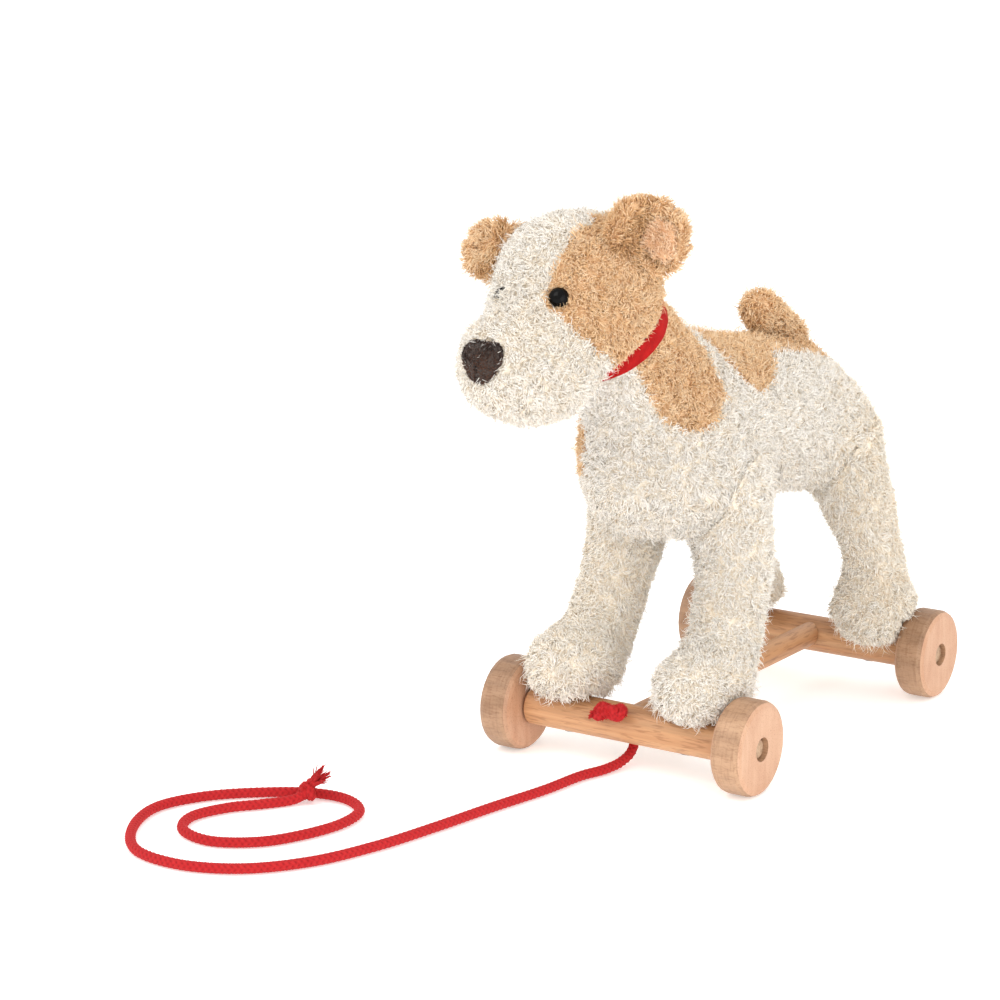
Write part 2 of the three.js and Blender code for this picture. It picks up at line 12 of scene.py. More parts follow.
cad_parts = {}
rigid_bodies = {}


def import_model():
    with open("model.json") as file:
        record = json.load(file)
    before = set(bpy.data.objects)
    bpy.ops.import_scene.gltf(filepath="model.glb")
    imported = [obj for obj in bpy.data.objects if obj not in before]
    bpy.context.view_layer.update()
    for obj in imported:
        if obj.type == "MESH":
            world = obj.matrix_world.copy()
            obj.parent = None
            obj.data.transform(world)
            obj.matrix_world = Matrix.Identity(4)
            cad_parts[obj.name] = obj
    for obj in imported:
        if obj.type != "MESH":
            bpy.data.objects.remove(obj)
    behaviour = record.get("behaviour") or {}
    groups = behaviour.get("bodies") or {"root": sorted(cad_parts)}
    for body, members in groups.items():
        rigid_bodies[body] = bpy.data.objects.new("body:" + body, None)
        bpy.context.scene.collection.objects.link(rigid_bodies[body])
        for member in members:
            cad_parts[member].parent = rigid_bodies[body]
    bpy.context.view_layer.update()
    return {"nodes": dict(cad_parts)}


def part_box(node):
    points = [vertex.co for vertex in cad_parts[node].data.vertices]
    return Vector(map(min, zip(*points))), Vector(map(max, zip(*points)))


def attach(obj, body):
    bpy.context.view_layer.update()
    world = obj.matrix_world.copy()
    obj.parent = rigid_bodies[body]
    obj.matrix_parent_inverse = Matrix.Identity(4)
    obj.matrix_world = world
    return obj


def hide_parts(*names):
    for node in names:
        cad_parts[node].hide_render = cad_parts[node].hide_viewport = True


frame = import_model()
NODES = frame["nodes"]
SCENE = bpy.context.scene
MM = 0.001
BODY = "chassis"
ENDS, SIDES = ("front", "rear"), ("left", "right")


# ---- camera
def make_camera():
    """Camera at the low three quarter view, looking at the dog's left side and face."""
    azimuth, elevation = math.radians(33.9), math.radians(13.39)
    back = Vector((
        math.sin(azimuth) * math.cos(elevation),
        -math.cos(azimuth) * math.cos(elevation),
        math.sin(elevation),
    ))
    right = Vector((math.cos(azimuth), math.sin(azimuth), 0))
    up = back.cross(right)
    data = bpy.data.cameras.new("camera")
    data.sensor_width, data.lens = 36, 107.83
    camera = bpy.data.objects.new("camera", data)
    turn = Matrix((right, up, back)).transposed().to_4x4()
    camera.matrix_world = Matrix.Translation((0.7012, -1.1921, 0.4515)) @ turn
    SCENE.collection.objects.link(camera)
    SCENE.camera = camera


make_camera()


# ---- materials
class Tree:
    """A material with one Principled shader, and short ways to add nodes to it."""

    def __init__(self, name, roughness=0.8, **values):
        self.mat = bpy.data.materials.new(name)
        self.mat.use_nodes = True
        self.nodes, self.links = self.mat.node_tree.nodes, self.mat.node_tree.links
        self.shader = self.nodes["Principled BSDF"]
        self.shader.inputs["Roughness"].default_value = roughness
        for key, value in values.items():
            self.shader.inputs[key.replace("_", " ")].default_value = value
        self.coords = self.add("ShaderNodeTexCoord").outputs["Object"]

    def add(self, kind, **props):
        node = self.nodes.new(kind)
        for key, value in props.items():
            setattr(node, key, value)
        return node

    def scaled(self, scale=(1, 1, 1), turn=(0, 0, 0)):
        node = self.add("ShaderNodeMapping")
        node.inputs["Scale"].default_value = scale
        node.inputs["Rotation"].default_value = turn
        self.links.new(self.coords, node.inputs["Vector"])
        return node.outputs[0]

    def noise(self, vector, scale, detail=4.0, rough=0.55, distortion=0.0):
        node = self.add("ShaderNodeTexNoise")
        values = {"Scale": scale, "Detail": detail, "Roughness": rough, "Distortion": distortion}
        for key, value in values.items():
            node.inputs[key].default_value = value
        self.links.new(vector, node.inputs["Vector"])
        return node.outputs[0]

    def voronoi(self, vector, scale):
        node = self.add("ShaderNodeTexVoronoi", feature="F1")
        node.inputs["Scale"].default_value = scale
        self.links.new(vector, node.inputs["Vector"])
        return node.outputs["Distance"]

    def ramp(self, value, *stops):
        node = self.add("ShaderNodeValToRGB")
        marks = node.color_ramp.elements
        while len(marks) < len(stops):
            marks.new(0.5)
        for mark, (at, colour) in zip(marks, stops):
            mark.position, mark.color = at, (*colour, 1)
        self.links.new(value, node.inputs[0])
        return node.outputs[0]

    def feed(self, socket, value):
        """Sets a socket to a number or a colour, or links another node's output to it."""
        if isinstance(value, (int, float)):
            socket.default_value = value
        elif isinstance(value, tuple):
            socket.default_value = (*value, 1)
        else:
            self.links.new(value, socket)

    def maths(self, operation, *values, clamp=False):
        node = self.add("ShaderNodeMath", operation=operation, use_clamp=clamp)
        for i, value in enumerate(values):
            self.feed(node.inputs[i], value)
        return node.outputs[0]

    def mix(self, share, a, b, blend="MIX"):
        node = self.add("ShaderNodeMix", data_type="RGBA", blend_type=blend)
        for i, value in ((0, share), (6, a), (7, b)):
            self.feed(node.inputs[i], value)
        return node.outputs[2]

    def colour(self, value):
        self.feed(self.shader.inputs["Base Color"], value)
        return self

    def rough(self, value, low, high):
        node = self.add("ShaderNodeMapRange")
        node.inputs["To Min"].default_value, node.inputs["To Max"].default_value = low, high
        self.links.new(value, node.inputs[0])
        self.links.new(node.outputs[0], self.shader.inputs["Roughness"])
        return self

    def bump(self, height, strength=0.4, distance=0.0005):
        node = self.add("ShaderNodeBump")
        node.inputs["Strength"].default_value, node.inputs["Distance"].default_value = strength, distance
        self.links.new(height, node.inputs["Height"])
        self.links.new(node.outputs[0], self.shader.inputs["Normal"])
        return self


WHITE = (1.0, 1.0, 1.0)


def linear(r, g, b):
    """A colour given in 0 to 255 display values, as linear light."""
    def one(value):
        value /= 255
        return value / 12.92 if value <= 0.04045 else ((value + 0.055) / 1.055) ** 2.4
    return one(r), one(g), one(b)


def long_grain(name, axis, light, mid, dark):
    """Oiled hardwood whose grain runs along one axis: streaks, short rays and fine pores."""
    tree = Tree(name, 0.5, Coat_Weight=0.06, Coat_Roughness=0.35)

    def drawn_out(share):
        scale = [1.0, 1.0, 1.0]
        scale[axis] = share
        return tree.scaled(scale)

    along = drawn_out(0.035)
    streaks = tree.noise(along, 260, 6, 0.6, 0.6)
    bands = tree.noise(along, 70, 3, 0.5, 1.2)
    rays = tree.noise(drawn_out(0.12), 900, 2, 0.5)
    base = tree.ramp(bands, (0.3, dark), (0.52, mid), (0.72, light))
    fine = tree.ramp(streaks, (0.32, tuple(c * 0.62 for c in mid)), (0.55, mid), (0.75, light))
    colour = tree.mix(0.5, base, fine)
    pores = tree.ramp(rays, (0.36, (0.55, 0.45, 0.38)), (0.47, WHITE))
    colour = tree.mix(0.55, colour, pores, "MULTIPLY")
    tree.colour(colour)
    tree.rough(streaks, 0.38, 0.62)
    return tree.bump(tree.maths("ADD", streaks, rays), 0.28, 0.0004).mat


def wheel_wood():
    """A wheel sawn from a round bar: rings and rays on its faces, darker speckled tread."""
    tree = Tree("wheel_wood", 0.5, Coat_Weight=0.05, Coat_Roughness=0.4)
    flat = tree.scaled((0.12, 1.0, 1.0))
    rings = tree.noise(tree.scaled((0.1, 1.0, 0.12), (0.35, 0, 0)), 190, 4, 0.55, 0.8)
    specks = tree.noise(tree.scaled((0.3, 1.0, 1.0)), 1400, 2, 0.6)
    clouds = tree.noise(flat, 45, 3, 0.5, 0.5)
    dark, mid, light = linear(186, 137, 104), linear(199, 154, 123), linear(207, 168, 139)
    face = tree.ramp(rings, (0.3, dark), (0.55, mid), (0.75, light))
    cloudy = tree.ramp(clouds, (0.35, linear(183, 135, 104)), (0.65, linear(209, 170, 141)))
    face = tree.mix(0.35, face, cloudy)
    dark, mid, light = linear(138, 102, 74), linear(170, 131, 99), linear(196, 158, 126)
    tread = tree.ramp(rings, (0.3, dark), (0.55, mid), (0.8, light))
    cloudy = tree.ramp(clouds, (0.38, linear(142, 110, 84)), (0.62, linear(205, 167, 135)))
    tread = tree.mix(0.5, tread, cloudy)
    across = tree.noise(flat, 1100, 2, 0.5)
    around = tree.noise(tree.scaled((1.0, 0.14, 0.14)), 1000, 2, 0.5)
    for cut in (across, around):
        marks = tree.ramp(cut, (0.34, (0.6, 0.5, 0.42)), (0.5, WHITE))
        tread = tree.mix(0.35, tread, marks, "MULTIPLY")
    normal = tree.add("ShaderNodeSeparateXYZ")
    tree.links.new(tree.nodes["Texture Coordinate"].outputs["Normal"], normal.inputs[0])
    share = tree.maths("ABSOLUTE", normal.outputs[0])
    share = tree.maths("MULTIPLY", tree.maths("SUBTRACT", share, 0.55), 4.0, clamp=True)
    colour = tree.mix(share, tread, face)
    dots = tree.ramp(specks, (0.33, (0.62, 0.52, 0.45)), (0.45, WHITE))
    tree.colour(tree.mix(0.5, colour, dots, "MULTIPLY"))
    tree.rough(rings, 0.42, 0.62)
    return tree.bump(tree.maths("ADD", specks, rings), 0.22, 0.0003).mat


def backing(name, low, high):
    """The knitted ground cloth that the pile stands on."""
    tree = Tree(name, 0.95, Sheen_Weight=0.2, Sheen_Roughness=0.6)
    loops = tree.voronoi(tree.scaled(), 850)
    clouds = tree.noise(tree.scaled(), 120, 3)
    knit = tree.ramp(loops, (0.1, high), (0.8, low))
    tree.colour(tree.mix(0.5, knit, tree.ramp(clouds, (0.3, low), (0.7, high))))
    tree.rough(loops, 0.85, 1.0)
    return tree.bump(loops, 0.7, 0.0006).mat


def fibre(name, colour, sheen):
    """One shade of pile yarn. Its detail is the yarns' own shape."""
    tree = Tree(name, 0.85, Sheen_Weight=sheen, Sheen_Roughness=0.45)
    tree.shader.inputs["Sheen Tint"].default_value = (*[min(1.0, c * 1.15) for c in colour], 1)
    tree.shader.inputs["Specular IOR Level"].default_value = 0.25
    return tree.colour(colour).mat


def felt(name, low, high):
    """Pressed wool felt: cloudy colour and a matted surface of short hairs."""
    tree = Tree(name, 0.95, Sheen_Weight=0.12, Sheen_Roughness=0.5, Specular_IOR_Level=0.15)
    tree.shader.inputs["Sheen Tint"].default_value = (*high, 1)
    hairs = tree.noise(tree.scaled(), 2600, 5, 0.7, 1.5)
    clouds = tree.noise(tree.scaled(), 260, 4, 0.6)
    matted = tree.ramp(hairs, (0.3, low), (0.7, high))
    tree.colour(tree.mix(0.5, matted, tree.ramp(clouds, (0.3, low), (0.7, high))))
    tree.rough(hairs, 0.85, 1.0)
    return tree.bump(hairs, 0.6, 0.0004).mat


def cotton(name):
    """Braided cotton yarn: every strand's own twist as fine slanted fibres, with painted shade in the plait's
    grooves and painted light on its crowns.
    """
    tree = Tree(name, 0.9, Sheen_Weight=0.2, Sheen_Roughness=0.5, Specular_IOR_Level=0.25)
    tree.shader.inputs["Sheen Tint"].default_value = (0.9, 0.2, 0.18, 1)
    plait = tree.add("ShaderNodeAttribute", attribute_name="plait").outputs["Fac"]
    fuzz = tree.noise(tree.scaled(), 3200, 4, 0.7, 1.0)
    clouds = tree.noise(tree.scaled(), 300, 3, 0.6)
    deep, mid, pale = linear(98, 7, 12), linear(180, 24, 31), linear(205, 44, 46)
    # painted shade and light: the plait's grooves darker, its crowns paler
    base = tree.ramp(plait, (0.0, deep), (0.4, mid), (1.0, pale))
    base = tree.mix(0.3, base, tree.ramp(clouds, (0.3, linear(166, 20, 27)), (0.7, pale)))
    base = tree.mix(0.3, base, tree.ramp(fuzz, (0.3, deep), (0.65, pale)))
    tree.colour(base)
    tree.rough(fuzz, 0.75, 0.95)
    return tree.bump(fuzz, 0.5, 0.0004).mat


def plain(name, colour, roughness, scale=900.0, depth=0.00008, spread=0.12, **values):
    """Moulded plastic or metal with a slightly uneven surface."""
    tree = Tree(name, roughness, **values)
    grain = tree.noise(tree.scaled(), scale, 3, 0.5)
    darker = tuple(c * (1 - spread) for c in colour)
    tree.colour(tree.ramp(grain, (0.35, darker), (0.65, colour)))
    tree.rough(grain, roughness * 0.85, roughness * 1.15)
    return tree.bump(grain, 0.15, depth).mat


BEAM_TONES = linear(216, 170, 126), linear(196, 145, 102), linear(166, 115, 76)
M = {
    **{f"grain_{a}": long_grain(f"beech_grain_{a}", i, *BEAM_TONES) for i, a in enumerate("xyz")},
    "peg": long_grain("peg_wood", 0, linear(206, 176, 146), linear(178, 146, 116), linear(146, 114, 86)),
    "wheel": wheel_wood(),
    "steel": plain("steel", (0.55, 0.55, 0.56), 0.35, Metallic=1.0),
    "washer": plain("washer_plastic", (0.75, 0.74, 0.70), 0.5),
    "eye": plain("eye_plastic", (0.004, 0.0035, 0.0035), 0.1, 400, 0.00001, 0.3, Specular_IOR_Level=0.1),
    "cream_ground": backing("cream_ground", linear(238, 224, 202), linear(250, 243, 230)),
    "tan_ground": backing("tan_ground", linear(214, 172, 128), linear(236, 200, 158)),
    "lining": backing("ear_lining", linear(206, 156, 114), linear(230, 188, 148)),
    "nose_ground": backing("nose_ground", linear(34, 24, 18), linear(62, 46, 38)),
    "felt": felt("red_felt", linear(134, 12, 14), linear(190, 28, 27)),
    "cotton": cotton("red_cotton"),
}


def yarns_of(name, sheen, *colours):
    """Five shades of one yarn, from the lightest to the darkest."""
    return [fibre(f"{name}_yarn_{i}", linear(*colour), sheen) for i, colour in enumerate(colours)]


CREAM = yarns_of("cream", 0.25, (254, 250, 244), (253, 248, 240), (251, 244, 234), (247, 238, 225),
                 (241, 229, 211))
# the warmer, darker cream is painted shade: the warm shade of bounced light on low, right side and rear fur
PAINTED_SHADE_CREAM = yarns_of("painted_shade_cream", 0.25, (254, 248, 237), (253, 244, 230), (250, 238, 220), (245, 229, 206),
                (237, 217, 190))
TAN = yarns_of("tan", 0.25, (249, 220, 184), (243, 209, 167), (235, 196, 150), (222, 179, 131),
               (196, 151, 105))
PEACH = yarns_of("lining", 0.25, (250, 219, 187), (244, 207, 170), (236, 195, 154), (223, 178, 137),
                 (200, 153, 114))
SCARLET = yarns_of("felt", 0.2, (200, 36, 33), (188, 30, 29), (175, 25, 25), (156, 19, 20), (132, 13, 15))
BROWN = yarns_of("nose", 0.05, (92, 64, 51), (70, 46, 36), (50, 32, 25), (34, 21, 16), (20, 12, 9))


# ---- mesh helpers
def new_object(name, mesh, materials, body=BODY, node=None):
    """A new piece that rides on body and, where node is given, stands for that CAD node."""
    for material in materials:
        mesh.materials.append(material)
    piece = bpy.data.objects.new(name, mesh)
    SCENE.collection.objects.link(piece)
    if body:
        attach(piece, body)
    if node:
        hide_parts(node)
    return piece


def mesh_of(name, points, quads=(), triangles=(), slots=None):
    """A smooth mesh from arrays of points and of four and three cornered faces, in that order."""
    quads = np.array(quads, np.int32).reshape(-1, 4)
    triangles = np.array(triangles, np.int32).reshape(-1, 3)
    mesh = bpy.data.meshes.new(name)
    mesh.vertices.add(len(points))
    mesh.vertices.foreach_set("co", np.asarray(points, np.float32).ravel())
    corners = np.concatenate([quads.ravel(), triangles.ravel()])
    mesh.loops.add(len(corners))
    mesh.loops.foreach_set("vertex_index", corners)
    starts = np.concatenate([np.arange(len(quads)) * 4, len(quads) * 4 + np.arange(len(triangles)) * 3])
    mesh.polygons.add(len(starts))
    mesh.polygons.foreach_set("loop_start", starts.astype(np.int32))
    mesh.polygons.foreach_set("use_smooth", np.ones(len(starts), bool))
    if slots is not None:
        mesh.polygons.foreach_set("material_index", np.asarray(slots, np.int32))
    mesh.update(calc_edges=True)
    return mesh


def read(items, key, wide=1, kind=np.float32):
    """One property of all items of a mesh as an array, with wide values to a row."""
    out = np.zeros(len(items) * wide, kind)
    items.foreach_get(key, out)
    return out.reshape(-1, wide) if wide > 1 else out


def points_of(obj):
    return read(obj.data.vertices, "co", 3).astype(float)


def normals_of(mesh):
    return read(mesh.vertices, "normal", 3).astype(float)


def unit(v):
    v = np.asarray(v, float)
    return v / np.maximum(np.linalg.norm(v, axis=-1, keepdims=True), 1e-12)


def between(first, last, start, stop, at):
    """The blend of first and last that is first at start and last at stop."""
    return (stop - at) / (stop - start) * first + (at - start) / (stop - start) * last


def smooth_path(points, step):
    """A centripetal Catmull-Rom curve through the points, resampled at even steps."""
    p = np.asarray(points, float)
    p = np.vstack([2 * p[0] - p[1], p, 2 * p[-1] - p[-2]])
    out = []
    for i in range(1, len(p) - 2):
        a, b, c, d = p[i - 1:i + 3]
        t0, t1 = 0.0, math.sqrt(np.linalg.norm(b - a))
        t2 = t1 + math.sqrt(np.linalg.norm(c - b))
        t3 = t2 + math.sqrt(np.linalg.norm(d - c))
        t = np.linspace(t1, t2, 60, endpoint=False)[:, None]
        ab, bc, cd = between(a, b, t0, t1, t), between(b, c, t1, t2, t), between(c, d, t2, t3, t)
        out.append(between(between(ab, bc, t0, t2, t), between(bc, cd, t1, t3, t), t1, t2, t))
    fine = np.vstack([*out, p[-2][None]])
    run = np.concatenate([[0], np.cumsum(np.linalg.norm(np.diff(fine, axis=0), axis=1))])
    count = max(4, int(round(run[-1] / step)))
    at = np.linspace(0, run[-1], count + 1)
    return np.stack([np.interp(at, run, fine[:, k]) for k in range(3)], 1), run[-1]


def turning_frames(path):
    """Directions along a path and two square to them that don't twist."""
    along = unit(np.gradient(path, axis=0))
    side = np.zeros_like(path)
    first = np.cross(along[0], (0, 0, 1.0))
    if np.linalg.norm(first) < 1e-3:
        first = np.array((1.0, 0, 0))
    side[0] = unit(first)
    for i in range(1, len(path)):
        v = side[i - 1] - along[i] * (side[i - 1] @ along[i])
        side[i] = v / np.linalg.norm(v)
    return along, side, np.cross(along, side)


def tube(name, points, radius, step, sides=16, plait=0.0, pitch=2.7 * MM, strands=4, taper=None):
    """A round or plaited tube along points. The plait is rows of slanted lozenges."""
    path, length = smooth_path(points, step)
    along, side, other = turning_frames(path)
    run = np.linspace(0, length, len(path))[:, None]
    angle = np.arange(sides)[None, :] / sides * 2 * math.pi
    wave = np.cos(strands * angle) * np.cos(2 * math.pi * run / pitch + 0.8 * np.sin(strands * angle))
    r = radius * (1 - plait + plait * wave)
    if taper is not None:
        r = r * np.asarray([taper(x) for x in np.linspace(0, 1, len(path))])[:, None]
    ring = path[:, None] + r[..., None] * (
        np.cos(angle)[..., None] * side[:, None] + np.sin(angle)[..., None] * other[:, None])
    n = len(path)
    domes = path[0] - along[0] * radius * 0.3, path[-1] + along[-1] * radius * 0.3
    verts = np.vstack([ring.reshape(-1, 3), *domes])
    i, j = np.meshgrid(np.arange(n - 1), np.arange(sides), indexing="ij")
    k = (j + 1) % sides
    below, above = i * sides, (i + 1) * sides
    quads = np.stack([below + j, below + k, above + k, above + j], -1).reshape(-1, 4)
    j = np.arange(sides)
    k = (j + 1) % sides
    first = np.stack([np.full(sides, n * sides), k, j], 1)
    last = np.stack([np.full(sides, n * sides + 1), (n - 1) * sides + j, (n - 1) * sides + k], 1)
    mesh = mesh_of(name, verts, quads, np.vstack([first, last]))
    # the plait's height, which the cotton paints darker in its grooves and paler on its crowns
    values = np.concatenate([(0.5 + 0.5 * wave).ravel(), [0.5, 0.5]]).astype(np.float32)
    mesh.attributes.new("plait", "FLOAT", "POINT").data.foreach_set("value", values)
    return mesh, path, length


def joined(name, meshes):
    """Several meshes as one, with their plait attribute."""
    points, quads, triangles, values, base = [], [], [], [], 0
    for mesh in meshes:
        for face in mesh.polygons:
            (quads if len(face.vertices) == 4 else triangles).append([v + base for v in face.vertices])
        points.append(read(mesh.vertices, "co", 3))
        values.append(read(mesh.attributes["plait"].data, "value"))
        base += len(mesh.vertices)
    whole = mesh_of(name, np.vstack(points), quads, triangles)
    whole.attributes.new("plait", "FLOAT", "POINT").data.foreach_set("value", np.concatenate(values))
    return whole


# ---- pull cord
CORD_R = 2.5 * MM
SHIFT = 53.7 * MM  # from halfway between the axles to the middle of the toy's length
WHEELBASE, WHEEL_R, BEAM_R, SPINE_R = 186 * MM, 22.5 * MM, 9.25 * MM, 6 * MM
BEAM_Y, BEAM_Z, SPINE_Z = SHIFT - WHEELBASE / 2, 22.5 * MM, 24 * MM
BEAM_END, WHEEL_IN, WHEEL_OUT = 55 * MM, 55.3 * MM, 71.3 * MM
SLOPE = math.radians(55)  # of the cord hole, and of the neck
FRONT_UP = np.array((0, -math.cos(SLOPE), math.sin(SLOPE)))
HOLE = np.array((-2.5 * MM, BEAM_Y, BEAM_Z))
HOLE_END = HOLE - FRONT_UP * 9.5 * MM
LIE_Z = 2.65 * MM  # the cord's middle where it lies on the floor
ROUTE = (
    (-5, -107), (-9, -120.4), (-12, -146), (-19, -181.9), (-25, -217.5), (-32, -250.5), (-44, -282.5),
    (-63, -305.5), (-88, -316.5), (-115, -313.5), (-135, -293.5), (-145, -265.5), (-137, -242.5),
    (-118, -222.5), (-98, -210), (-80, -208.5), (-66, -217.5), (-62, -234.5), (-67, -256.5), (-78, -275.5),
    (-97, -286.5), (-116, -281.5), (-123.5, -266.5), (-118, -248.5), (-108, -235.5), (-100.5, -224.5),
)


def at_mm(x, y, z):
    return np.array((x, y, z)) * MM + (0, SHIFT, 0)


def cord_points():
    """The cord's middle line: from under the top knot through the beam, to the floor and round."""
    points = [HOLE + FRONT_UP * 9 * MM, HOLE, HOLE_END]
    points += [at_mm(-2.5, -84.4, 10.2), at_mm(-2.6, -87.5, 6), at_mm(-3.4, -95, 3.3)]
    points += [np.array((x * MM, y * MM + SHIFT, LIE_Z)) for x, y in ROUTE]
    return points + [at_mm(-98.4, -221.0, 3.3), at_mm(-96.6, -218.4, 4.8)]


def tie(node, turns, radius, core, core_radius, ends=()):
    """A knot in the place of a CAD node: its wound turns, a core that fills them, and its frayed ends."""
    wound, _, _ = tube("turns", turns, radius, 0.4 * MM, 16, plait=0.1)
    filling, _, _ = tube("core", core, core_radius, 0.5 * MM, 14)
    mesh = joined(f"{node}_turns", [wound, filling, *ends])
    return new_object(f"{node}_turns", mesh, [M["cotton"]], node=node)


def make_cord():
    """The braided cord with the knot and the frayed yarns at its end. Gives the cord's length."""
    points = cord_points()
    mesh, path, length = tube("pull_cord_braid", points, CORD_R, 0.42 * MM, 24, plait=0.1)
    cord = new_object("pull_cord_braid", mesh, [M["cotton"]], node="pull_cord")
    # the knot in its end: turns wound round the cord
    end = at_mm(-96, -217.6, 5.1)
    lead = unit(end - points[-1])
    low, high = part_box("end_knot")
    centre = np.array((low + high) / 2)
    side = unit(np.cross(lead, (0, 0, 1.0)))
    top = np.array((0, 0, 1.0))
    wrap = [centre + side * a * MM + top * b * MM + lead * c * MM for a, b, c in (
        (-1.2, -2.2, -3.2), (-3.2, -0.2, -1.6), (-1.6, 2.6, -0.4), (1.8, 2.0, 0.6), (2.6, -1.4, 1.4),
        (-0.6, -2.6, 2.2), (-2.6, 0.6, 2.6), (0.0, 3.0, 2.0), (1.4, 4.6, 1.4))]
    core = [centre - lead * 2.4 * MM, centre, centre + lead * 1.6 * MM + top * 1.0 * MM]
    knot = tie("end_knot", wrap, 2.3 * MM, core, 3.0 * MM)
    # frayed yarns beyond the knot
    rng = np.random.default_rng(11)
    start = end + np.array((2.2, 0.4, 4.2)) * MM
    aim = unit((0.75, 0.15, 0.8))
    across = unit(np.cross(aim, (0, 0, 1.0)))
    over = np.cross(across, aim)
    yarns = []
    for i in range(60):
        turn, spread = rng.random() * 2 * math.pi, math.sqrt(rng.random())
        out = across * math.cos(turn) + over * math.sin(turn)
        reach = (7.5 + 4.0 * rng.random()) * MM
        wide = spread * 3.6 * MM
        bend = rng.normal(0, 0.5, 3) * MM
        yarn = [start + out * spread * 1.3 * MM + aim * reach * t + out * wide * t ** 1.6
                + bend * math.sin(math.pi * t * 1.5) for t in (0, 0.3, 0.55, 0.8, 1.0)]
        strand, _, _ = tube(f"yarn_{i}", yarn, 0.36 * MM, 0.9 * MM, 5, taper=lambda t: 1 - 0.55 * t ** 3)
        yarns.append(strand)
    tassel = new_object("end_tassel_yarns", joined("end_tassel_yarns", yarns), [M["cotton"]],
                        node="end_tassel")
    return length


def make_beam_knot():
    """The knot that keeps the cord from slipping through the beam: two turns and a short stub."""
    left, right = at_mm(-7.6, -104.4, 29.6), at_mm(0.8, -104, 30.4)
    out = unit((0.0, -0.72, 0.69))
    up = unit((0.0, 0.69, 0.72))
    x = np.array((1.0, 0, 0))

    def near(centre, a, b, c):
        return centre + (x * a + up * b + out * c) * MM

    turns = [HOLE + FRONT_UP * 7 * MM]
    turns += [near(right, *way) for way in (
        (-2.0, 0.5, 0.0), (0.5, 2.6, 1.4), (3.0, 0.6, 1.8), (1.6, -2.4, 1.2), (-2.2, -2.4, 1.0))]
    turns += [near(left, *way) for way in (
        (2.4, -1.0, 2.4), (1.0, 2.4, 2.0), (-2.4, 2.0, 0.6), (-3.4, -0.8, -0.2), (-1.6, -3.0, 0.6),
        (1.4, -2.2, 1.4), (3.4, 0.4, 0.2))]
    core = [near(left, -0.8, 0, 0.6), near(left, 1.5, 0, 1.2), near(right, -3.0, 0, 1.0),
            near(right, 0.8, 0, 0.8)]
    rng = np.random.default_rng(12)
    frayed = []
    for i in range(26):
        a, b, c = rng.normal(0, 1, 3)
        frayed.append(tube(f"end_{i}", [
            near(left, -1.6, -1.4, 1.2), near(left, -3.4 + 0.3 * a, -2.6 + 0.5 * b, 1.4 + 0.5 * c),
            near(left, -5.0 + 0.5 * a, -3.4 + 1.1 * b, 1.8 + 1.0 * c),
        ], 0.36 * MM, 0.7 * MM, 5, taper=lambda t: 1 - 0.5 * t ** 3)[0])
    tie("beam_knot", turns, 2.2 * MM, core, 3.1 * MM, frayed)


CORD_LENGTH = make_cord()
make_beam_knot()


# ---- wood, metal and plastic carried over
def paint(node, material, sharp=35):
    piece = NODES[node]
    piece.data.materials.clear()
    piece.data.materials.append(material)
    piece.data.polygons.foreach_set("use_smooth", np.ones(len(piece.data.polygons), bool))
    piece.data.set_sharp_from_angle(angle=math.radians(sharp))


for beam in ("front_beam", "rear_beam"):
    paint(beam, M["grain_x"])
paint("spine_dowel", M["grain_y"])
for end in ENDS:
    for hand in SIDES:
        paint(f"wheel_{end}_{hand}", M["wheel"], 50)
        paint(f"axle_peg_{end}_{hand}", M["peg"])
        paint(f"paw_block_{end}_{hand}", M["grain_z"])
        paint(f"paw_screw_{end}_{hand}", M["steel"])
for hand in SIDES:
    paint(f"eye_{hand}", M["eye"])
    paint(f"eye_washer_{hand}", M["washer"])


# ---- sewn skins
def set_points(obj, points):
    obj.data.vertices.foreach_set("co", np.asarray(points, np.float32).ravel())
    obj.data.update()


def surfaces_of(names):
    """The points and faces of several CAD nodes."""
    points, faces, base = [], [], 0
    for name in names:
        data = NODES[name].data
        points += [v.co.copy() for v in data.vertices]
        faces += [[v + base for v in f.vertices] for f in data.polygons]
        base = len(points)
    return points, faces


def tree_of(*names):
    """One search tree over several CAD nodes' surfaces."""
    return BVHTree.FromPolygons(*surfaces_of(names))


def reach(tree, points, limit=0.05):
    """Distance from each point to the nearest surface of tree."""
    out = np.full(len(points), limit)
    for i, p in enumerate(points):
        found = tree.find_nearest(Vector(p), limit)
        if found[3] is not None:
            out[i] = found[3]
    return out


def apply_all(obj):
    dg = bpy.context.evaluated_depsgraph_get()
    mesh = bpy.data.meshes.new_from_object(obj.evaluated_get(dg), depsgraph=dg)
    obj.modifiers.clear()
    obj.data = mesh


def relax(points, mesh, rounds, share=0.5):
    """Moves each point towards the mean of its neighbours."""
    a, b = read(mesh.edges, "vertices", 2, np.int32).T
    count = np.bincount(np.concatenate([a, b]), minlength=len(points))[:, None]
    for _ in range(rounds):
        total = np.zeros_like(points)
        np.add.at(total, a, points[b])
        np.add.at(total, b, points[a])
        points = points + share * (total / np.maximum(count, 1) - points)
    return points


def puff(obj, pressure, cap, frames=20):
    """Stuffs a cloth cover: pressure from inside, no gravity, no point moved further than cap."""
    before = points_of(obj)
    cloth = obj.modifiers.new("stuffing", "CLOTH")
    cloth.settings.use_pressure = True
    cloth.settings.uniform_pressure_force = pressure
    cloth.settings.effector_weights.gravity = 0
    cloth.settings.quality = 4
    for number in range(1, frames + 1):
        SCENE.frame_set(number)
    dg = bpy.context.evaluated_depsgraph_get()
    after = read(obj.evaluated_get(dg).data.vertices, "co", 3)
    obj.modifiers.clear()
    SCENE.frame_set(1)
    step = after - before
    size = np.linalg.norm(step, axis=1, keepdims=True)
    set_points(obj, before + step * np.minimum(1, cap / np.maximum(size, 1e-9)))


